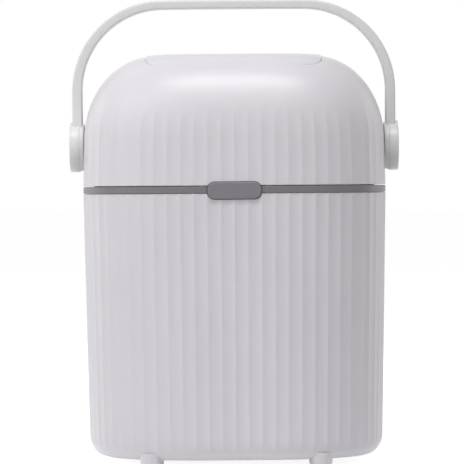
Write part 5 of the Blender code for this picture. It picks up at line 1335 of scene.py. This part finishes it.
class NAPPYBIN_OT_screws(bpy.types.Operator):
    """Cross-head screws, and finishes on the small hidden pieces"""
    bl_idname = "nappybin.screws"
    bl_label = "Screws and small pieces"

    def execute(self, context):
        meshes = {}
        for node, spot, axis, length, body in self.places():
            if length not in meshes:
                meshes[length] = self.screw(length)
            obj = piece(node + "_fine", meshes[length].copy())
            obj.rotation_euler = Vector(axis).to_track_quat("Z", "Y").to_euler()
            obj.location = spot
            settle(obj, body, "screw", node)
        looks = {"dark": ("latch_housing", "latch_hook"),
                 "steel": ("latch_strike", "pivot_washer_left", "pivot_washer_right", "filter_pin"),
                 "inner": ("pivot_hub_left", "pivot_hub_right", "filter_box", "filter_door"),
                 "carbon": ("carbon_block",)}
        for look, nodes in looks.items():
            for node in nodes:
                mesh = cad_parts[node].data
                mesh.materials.clear()
                mesh.materials.append(finish_of(look))
        return {"FINISHED"}

    def places(self):
        """Node, place, way out of the hole, length and body of every screw."""
        behind = HINGE_PLATE_Y - SEAT_GAP
        for word, sign in LEFT_RIGHT:
            spot = (sign * LATCH_SCREW_X, HOUSING_END_Y + SEAT_GAP, BUTTON_Z - LATCH_SCREW_DROP)
            yield "latch_screw_" + word, spot, (0, 1, 0), SHORT_SCREW, "bin"
        for word, sign in LEFT_RIGHT:
            x = sign * HINGE_SCREW_X
            low_z = HINGE_Z - BRACKET_SCREW_DROP
            high_z = HINGE_Z + ARM_SCREW_RISE
            yield "hinge_bracket_screw_" + word, (x, behind, low_z), (0, -1, 0), SHORT_SCREW, "bin"
            yield "hinge_arm_screw_" + word, (x, behind, high_z), (0, -1, 0), SHORT_SCREW, "lid"
        for word_x, sign_x in LEFT_RIGHT:
            for word_y, sign_y in FRONT_REAR:
                spot = (sign_x * LINER_SCREW_X, sign_y * LINER_SCREW_Y, FLOOR_Z - SEAT_GAP)
                yield "liner_screw_" + word_y + "_" + word_x, spot, (0, 0, -1), LINER_SCREW, "lid"
        for word, sign in LEFT_RIGHT:
            spot = (sign * (DRUM_BASE_X + PIVOT_SCREW_SEAT), 0, PIVOT_Z)
            yield "pivot_screw_" + word, spot, (sign, 0, 0), PIVOT_SCREW, "lid"

    def screw(self, length):
        """Pan head with a cross recess on a plain shaft."""
        profile = [(0, 0.0016), (0.0012, 0.00158), (0.0022, 0.0014), (0.0029, 0.0010), (0.0033, 0.0005),
                   (0.0033, 0.0001), (0.0032, 0.0), (0.0014, 0.0), (0.0014, -length + 0.0014), (0, -length)]
        obj = piece("screw_blank", mesh_from("screw", turned_mesh(profile, (0, 0, 0), (0, 0, 1), 32)))
        for half_x, half_y in ((0.0016, 0.00028), (0.00028, 0.0016)):
            cut_block(obj, (-half_x, -half_y, 0.0008), (half_x, half_y, 0.0030))
        mesh = obj.data
        bpy.data.objects.remove(obj)
        return mesh


class NAPPYBIN_OT_stage(bpy.types.Operator):
    """Floor, room light, softboxes and the camera"""
    bl_idname = "nappybin.stage"
    bl_label = "Stage"

    def execute(self, context):
        sizes = scene_sizes()
        scene = context.scene
        scene.view_settings.view_transform = "Standard"
        self.room(scene, sizes)
        self.floor()
        self.softbox("key_softbox", (-1.5, -0.97, 1.1), (1.8, 1.8), sizes.key_power)
        self.softbox("top_softbox", (0, -0.9, 1.7), (1.2, 0.8), sizes.top_power)
        self.softbox("strip_softbox", (0, -0.56, 1.45), (0.9, 0.25), sizes.top_power * STRIP_SHARE)
        for word, sign in LEFT_RIGHT:
            self.softbox(word + "_rim_softbox", (sign * 1.71, 0.98, 0.55), (1.1, 1.1), sizes.rim_power)
        self.camera(scene, sizes)
        return {"FINISHED"}

    def room(self, scene, sizes):
        """White where it is seen, and dim as light on the bin."""
        scene.world = bpy.data.worlds.new("white_room")
        kit = Finish(scene.world)
        strength = kit.add("ShaderNodeMapRange", None,
                           {"Value": kit.seen(), "To Min": sizes.ambient, "To Max": 1.0})
        light = kit.add("ShaderNodeBackground", None, {"Color": WHITE, "Strength": strength})
        kit.close("ShaderNodeOutputWorld", light)

    def floor(self):
        """Pale floor, with a glow where it is seen."""
        bm = bmesh.new()
        bmesh.ops.create_grid(bm, x_segments=1, y_segments=1, size=FLOOR_HALF_SIZE)
        bmesh.ops.translate(bm, vec=(0, 0, -FLOOR_BELOW), verts=bm.verts)
        floor = piece("floor", mesh_from("floor", bm))
        kit = Finish(bpy.data.materials.new("pale_floor"))
        diffuse = kit.add("ShaderNodeBsdfDiffuse", None, {"Color": FLOOR_TINT})
        glow = kit.add("ShaderNodeEmission", None, {"Color": WHITE, "Strength": FLOOR_GLOW})
        both = kit.add("ShaderNodeAddShader", None, {0: diffuse, 1: glow})
        blend = kit.add("ShaderNodeMixShader", None, {0: kit.seen(), 1: diffuse, 2: both})
        floor.data.materials.append(kit.close("ShaderNodeOutputMaterial", blend))

    def softbox(self, name, place, size, power):
        """Square or oblong lamp that faces the middle of the bin."""
        lamp = bpy.data.lights.new(name, "AREA")
        lamp.shape = "RECTANGLE"
        lamp.size = size[0]
        lamp.size_y = size[1]
        lamp.energy = power
        obj = bpy.data.objects.new(name, lamp)
        bpy.context.scene.collection.objects.link(obj)
        obj.location = place
        obj.rotation_euler = (LAMP_AIM - Vector(place)).to_track_quat("-Z", "Y").to_euler()

    def camera(self, scene, sizes):
        """The photo's camera, level and with a slight roll."""
        lens = bpy.data.cameras.new("photo_camera")
        obj = bpy.data.objects.new("photo_camera", lens)
        scene.collection.objects.link(obj)
        obj.location = (0, -sizes.camera_distance, CAMERA_Z)
        obj.rotation_euler = (QUARTER, CAMERA_ROLL, 0)
        lens.sensor_width = FILM_WIDTH
        lens.lens = FILM_WIDTH * sizes.camera_distance / (PIXELS * PIXEL)
        lens.shift_x = -0.0052
        lens.shift_y = -0.1075
        scene.camera = obj


class NAPPYBIN_PT_panel(bpy.types.Panel):
    """Sidebar panel with the sizes, the colours and one button for each group of pieces"""
    bl_label = "Nappy Bin"
    bl_idname = "NAPPYBIN_PT_panel"
    bl_space_type = "VIEW_3D"
    bl_region_type = "UI"
    bl_category = "Nappy Bin"

    def draw(self, context):
        for group in (context.scene.nappy_bin_sizes, context.scene.nappy_bin_colours):
            box = self.layout.box()
            for name in group.__annotations__:
                box.prop(group, name)
        for operator in OPERATORS:
            self.layout.operator(operator.bl_idname)


OPERATORS = (NAPPYBIN_OT_stage, NAPPYBIN_OT_body, NAPPYBIN_OT_band, NAPPYBIN_OT_bucket, NAPPYBIN_OT_lid,
             NAPPYBIN_OT_flap, NAPPYBIN_OT_lining, NAPPYBIN_OT_latch, NAPPYBIN_OT_hinge, NAPPYBIN_OT_handle,
             NAPPYBIN_OT_screws)
CLASSES = (NappyBinSizes, NappyBinColours) + OPERATORS + (NAPPYBIN_PT_panel,)


def register():
    for cls in CLASSES:
        bpy.utils.register_class(cls)
    bpy.types.Scene.nappy_bin_sizes = PointerProperty(type=NappyBinSizes)
    bpy.types.Scene.nappy_bin_colours = PointerProperty(type=NappyBinColours)


def unregister():
    del bpy.types.Scene.nappy_bin_colours
    del bpy.types.Scene.nappy_bin_sizes
    for cls in reversed(CLASSES):
        bpy.utils.unregister_class(cls)


def main():
    register()
    for operator in OPERATORS:
        group, name = operator.bl_idname.split(".")
        getattr(getattr(bpy.ops, group), name)()
    bpy.context.view_layer.update()


if __name__ == "__main__":
    main()
